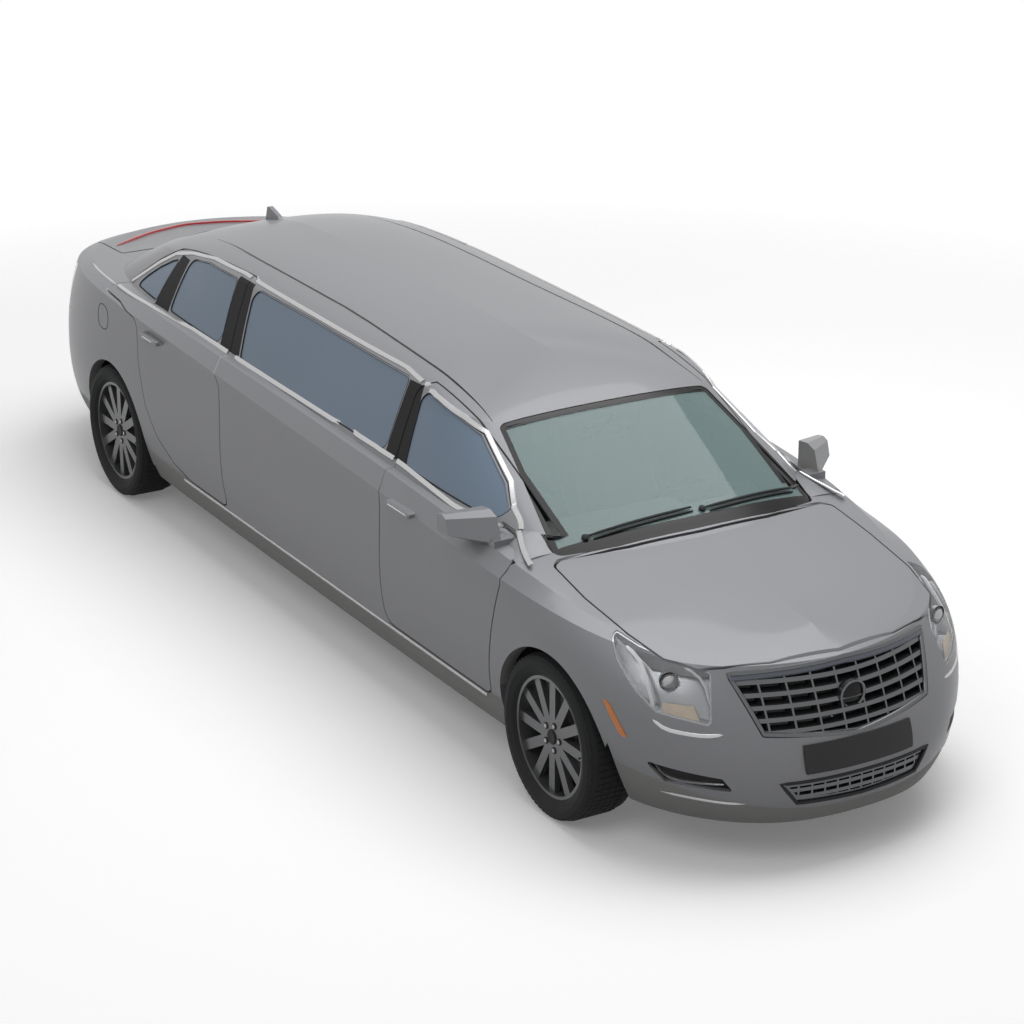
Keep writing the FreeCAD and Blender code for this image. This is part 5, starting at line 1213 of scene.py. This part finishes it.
def softBlock(name, low, high, pivot=None, bolster=0.0):
    # the pad before it is filled: a rounded block, slightly small, raised at its sides where the real one has bolsters
    inset = Vector((seats["inset"],) * 3)
    low, high = Vector(low) + inset, Vector(high) - inset
    builder = cubeMesh(low, high, seats["edge"], 3)
    mesh = bpy.data.meshes.new(name)
    builder.to_mesh(mesh)
    builder.free()
    piece = bpy.data.objects.new(name, mesh)
    scene.collection.objects.link(piece)
    remesh = piece.modifiers.new("even", "REMESH")
    remesh.mode = "VOXEL"
    remesh.voxel_size = seats["voxel"]
    mesh = applied(piece)
    middle, half, up = (low.y + high.y) / 2, (high.y - low.y) / 2, 2 if pivot is None else 0
    for vert in mesh.vertices:
        outer = max(0.0, min(1.0, (abs(vert.co.y - middle) / half - 0.55) / 0.25))
        vert.co[up] += bolster * outer * max(0.0, (vert.co[up] - low[up]) / (high[up] - low[up]) - 0.5) * 2
        if pivot is not None:
            vert.co = leant(vert.co, pivot)
    mesh.materials.append(materials["leather"])
    mesh.polygons.foreach_set("use_smooth", [True] * len(mesh.polygons))
    return piece


def fillPads(pads):
    # cloth with air inside, all pads at once; how far a point may move is capped
    starts = [[v.co.copy() for v in pad.data.vertices] for pad in pads]
    for pad in pads:
        cloth = pad.modifiers.new("filling", "CLOTH")
        for key, value in seats["cloth"].items():
            setattr(cloth.settings, key, value)
        cloth.settings.effector_weights.gravity = 0
        cloth.point_cache.frame_start = 1
        cloth.point_cache.frame_end = seats["frames"]
    for frameNumber in range(1, seats["frames"] + 1):
        scene.frame_set(frameNumber)
    graph = bpy.context.evaluated_depsgraph_get()
    meshes = [bpy.data.meshes.new_from_object(pad.evaluated_get(graph)) for pad in pads]
    swollen = [[v.co.copy() for v in mesh.vertices] for mesh in meshes]
    scene.frame_set(1)
    for pad, before, after in zip(pads, starts, swollen):
        pad.modifiers.clear()
        drift = sum((b - a for a, b in zip(before, after)), Vector()) / len(before)
        for vert, a, b in zip(pad.data.vertices, before, after):
            move = b - a - drift
            reach = move.length
            vert.co = a + move * (min(1.0, seats["swell"] / reach) if reach > 0 else 0)


def smoothPad(pad):
    modifier = pad.modifiers.new("smooth", "SUBSURF")
    modifier.levels = modifier.render_levels = 1
    applied(pad)


def sewPad(pad, seams, heading):
    # sinks the sewn lines into the pad and returns where they run on its surface
    mesh = pad.data
    tree = BVHTree.FromPolygons([v.co.copy() for v in mesh.vertices], [tuple(p.vertices) for p in mesh.polygons])
    push = Vector(heading).normalized()
    lines = []
    for seam in seams:
        line = []
        for point in evenly(seam, 0.012):
            spot, normal = tree.ray_cast(Vector(point) - push * 0.6, push)[:2]
            if spot is not None:
                line.append((spot, -push if normal.dot(push) > 0 else normal))
        lines.append(line)
    reach = seats["seamWidth"] * 1.6
    for vert in mesh.vertices:
        near = ((((vert.co - spot).length), normal) for line in lines for spot, normal in line)
        distance, normal = min(near, key=lambda pair: pair[0], default=(reach, None))
        if distance < reach:
            share = 1 - distance / reach
            vert.co -= normal * seats["seamDepth"] * share * share
    mesh.update()
    return lines


def seatParts(tag, edge, middle, width, count):
    # cushion, backrest and headrests of one seat: pad, lines sewn in it, the way they face, and how soft it is
    low, top, half = seats["floor"] + seats["plinth"], seats["cushionTop"], width / 2
    rearEdge, backHalf = edge - seats["depth"], seats["backDepth"] * 0.5
    pivot, bolster = (rearEdge, 0, top), seats["bolster"]
    spots = [middle] if count == 1 else [middle - width * 0.31, middle, middle + width * 0.31]
    reach = 0.17 if count == 1 else 0.15
    cushion = softBlock("seatCushion" + tag, (rearEdge, middle - half, low), (edge, middle + half, top), None, bolster)
    seams = []
    for spot in spots:
        for back, tip, wide in ((0.42, 0.14, reach), (0.30, 0.03, reach * 1.1)):
            seams.append([(edge - back, spot - wide, top), (edge - tip, spot, top), (edge - back, spot + wide, top)])
    parts = [(cushion, seams, down, 0.72)]
    face = rearEdge + backHalf
    back = softBlock("seatBack" + tag, (rearEdge - backHalf, middle - half, low + 0.07),
                     (face, middle + half, seats["backTop"]), pivot, bolster)
    seams = [[leant((face, spot + side * reach, z + (0.07 if side else 0)), pivot) for side in (-1, 0, 1)]
             for spot in spots for z in seats["seamHeights"]]
    parts.append((back, seams, lean @ Vector(noseIn), 0.72))
    x = rearEdge - seats["headBack"]
    for letter, spot in zip("ABC", spots):
        head = softBlock("headrest" + tag + letter, (x - 0.052, spot - 0.13, seats["backTop"] - 0.03),
                         (x + 0.056, spot + 0.13, seats["headTop"]))
        parts.append((head, [[(x + 0.06, spot - 0.11, 1.20), (x + 0.06, spot + 0.11, 1.20)]], noseIn, 0.8))
    return parts


def buildSeats():
    groups = [(row[1], seatParts(row[0], *row[2:6])) for row in seats["rows"]]
    fillPads([part[0] for _, parts in groups for part in parts])
    for node, parts in groups:
        for pad, seams, heading, fill in parts:
            smoothPad(pad)
            lines = [line for line in sewPad(pad, seams, heading) if len(line) > 1]
            sunk = [[(spot - normal * seats["stitchSunk"], normal) for spot, normal in line] for line in lines]
            grow(pad.name + "Stitches", studsOnLine, "body", "thread", seats["stitch"], sunk)
            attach(pad, "body")
            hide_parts(node)
    for tag, node, edge, middle, _, _, half in seats["rows"]:
        low = seats["floor"]
        high = low + seats["plinth"] + 0.02
        base = roundedBlock((edge - 0.40, middle - half, low), (edge - 0.10, middle + half, high), 0.012)
        plinth = addPiece("seatBase" + tag, *base, "body", "trim")
        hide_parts(node)
        x, z = edge - seats["depth"] - 0.235, seats["backTop"] - 0.02
        posts = [lathe([(0.006, -0.06), (0.006, 0.06)], (x, middle + side, z), (0, 0, 1), 12) for side in (-0.06, 0.06)]
        addPiece("headrestPosts" + tag, *joined(*posts), "body", "chrome")


cabin = {
    "blocks": (("cabinCarpet", (-1.50, -0.74, 0.2403), (1.86, 0.74, 0.2465), 0.002, 1, "carpet"),
               ("dashPad", (1.57, -0.645, 0.926), (1.905, 0.645, 0.9375), 0.005, 2, "paleTrim"),
               ("dashHood", (1.545, 0.23, 0.915), (1.70, 0.51, 0.968), 0.020, 3, "blackMatt"),
               ("dashScreen", (1.530, -0.115, 0.800), (1.548, 0.115, 0.915), 0.004, 2, "blackGloss"),
               ("gloveBox", (1.532, -0.60, 0.74), (1.552, -0.20, 0.86), 0.008, 2, "trim")),
    "vents": (-0.56, -0.22, 0.20, 0.56), "ventHalf": 0.045, "ventRadius": 0.0028,
    "slats": [0.872 + 0.012 * i for i in range(4)],
    "knob": [(0.011, 0.0), (0.009, 0.07), (0.022, 0.075), (0.026, 0.10), (0.018, 0.125), (0.002, 0.130)],
    "cabinetTop": 0.8252, "topWall": 0.022, "doorsAt": (0.0, 0.217, 0.434), "pullRadius": 0.0045, "railRadius": 0.0035,
    "cup": [(0.026, 0.0), (0.033, 0.004), (0.036, 0.09), (0.034, 0.09), (0.031, 0.008), (0.002, 0.006)],
    "cupsAt": ((0.10, -0.40), (0.20, -0.52), (0.32, -0.41), (0.44, -0.54)),
    "rail": ((0.05, -0.34), (0.50, -0.34), (0.50, -0.62), (0.05, -0.62)),
    "boss": [(0.066, 0.030), (0.070, 0.038), (0.062, 0.047), (0.030, 0.050), (0.002, 0.051)],
    "bossAt": (1.4498, 0.37, 0.8025), "bossAxis": (-0.906308, 0, 0.422618),
}


def straight(ends, normal):
    return [(Vector(end), Vector(normal)) for end in ends]


def buildCabin():
    for name, low, high, radius, segments, material in cabin["blocks"]:
        addPiece(name, *roundedBlock(low, high, radius, segments), "body", material)
    half, upright = cabin["ventHalf"], (0, 0, 1)
    slats = [straight(((1.530, y - half, z), (1.530, y + half, z)), noseIn)
             for y in cabin["vents"] for z in cabin["slats"]]
    grow("dashVents", beadOnLine, "body", "blackMatt", {"Radius": cabin["ventRadius"]}, slats)
    selector = joined(lathe(cabin["knob"], (1.33, 0, 0.538), (-0.15, 0, 1), 24),
                      roundedBlock((1.24, -0.065, 0.534), (1.42, 0.065, 0.545), 0.004))
    addPiece("gearSelector", *selector, "body", "blackGloss")
    glass = cast("windscreen", (1.462, 0, 1.0), upright)[0].z
    mirror = joined(roundedBlock((1.425, -0.115, glass - 0.110), (1.450, 0.115, glass - 0.050), 0.010, 3),
                    lathe([(0.008, 0.0), (0.006, 0.060)], (1.445, 0, glass - 0.060), (0.25, 0, 1), 12))
    addPiece("innerMirror", *mirror, "body", "blackMatt")
    # cabinet: worktop, doors with pulls, a few tumblers and a rail round them
    low = cabin["cabinetTop"]
    top = low + cabin["topWall"]
    addPiece("cabinetTop", *roundedBlock((-0.030, -0.690, low), (0.668, -0.248, top), 0.006), "body", "wood")
    doors = [roundedBlock((x, -0.2625, 0.30), (x + 0.205, -0.252, low - 0.03), 0.004) for x in cabin["doorsAt"]]
    addPiece("cabinetDoors", *joined(*doors), "body", "lacquer")
    pulls = [straight(((x + 0.06, -0.243, low - 0.06), (x + 0.145, -0.243, low - 0.06)), sideIn)
             for x in cabin["doorsAt"]]
    grow("cabinetPulls", beadOnLine, "body", "chrome", {"Radius": cabin["pullRadius"]}, pulls)
    cups = [lathe(cabin["cup"], (x, y, top), upright, 24) for x, y in cabin["cupsAt"]]
    addPiece("tumblers", *joined(*cups), "body", "glassware")
    rail = straight([(x, y, low + 0.046) for x, y in cabin["rail"]], upright)
    grow("cabinetRail", beadOnLine, "body", "chrome", {"Radius": cabin["railRadius"]}, [rail], True)
    posts = [lathe([(0.003, 0.0), (0.003, 0.026)], (x, y, low + 0.021), upright, 10) for x, y in cabin["rail"]]
    addPiece("cabinetPosts", *joined(*posts), "body", "chrome")
    boss = lathe(cabin["boss"], cabin["bossAt"], cabin["bossAxis"], 32)
    addPiece("wheelBoss", *boss, "steering_wheel", "trim")


buildSeats()
buildCabin()
print("cabin done")

print("all pieces placed")
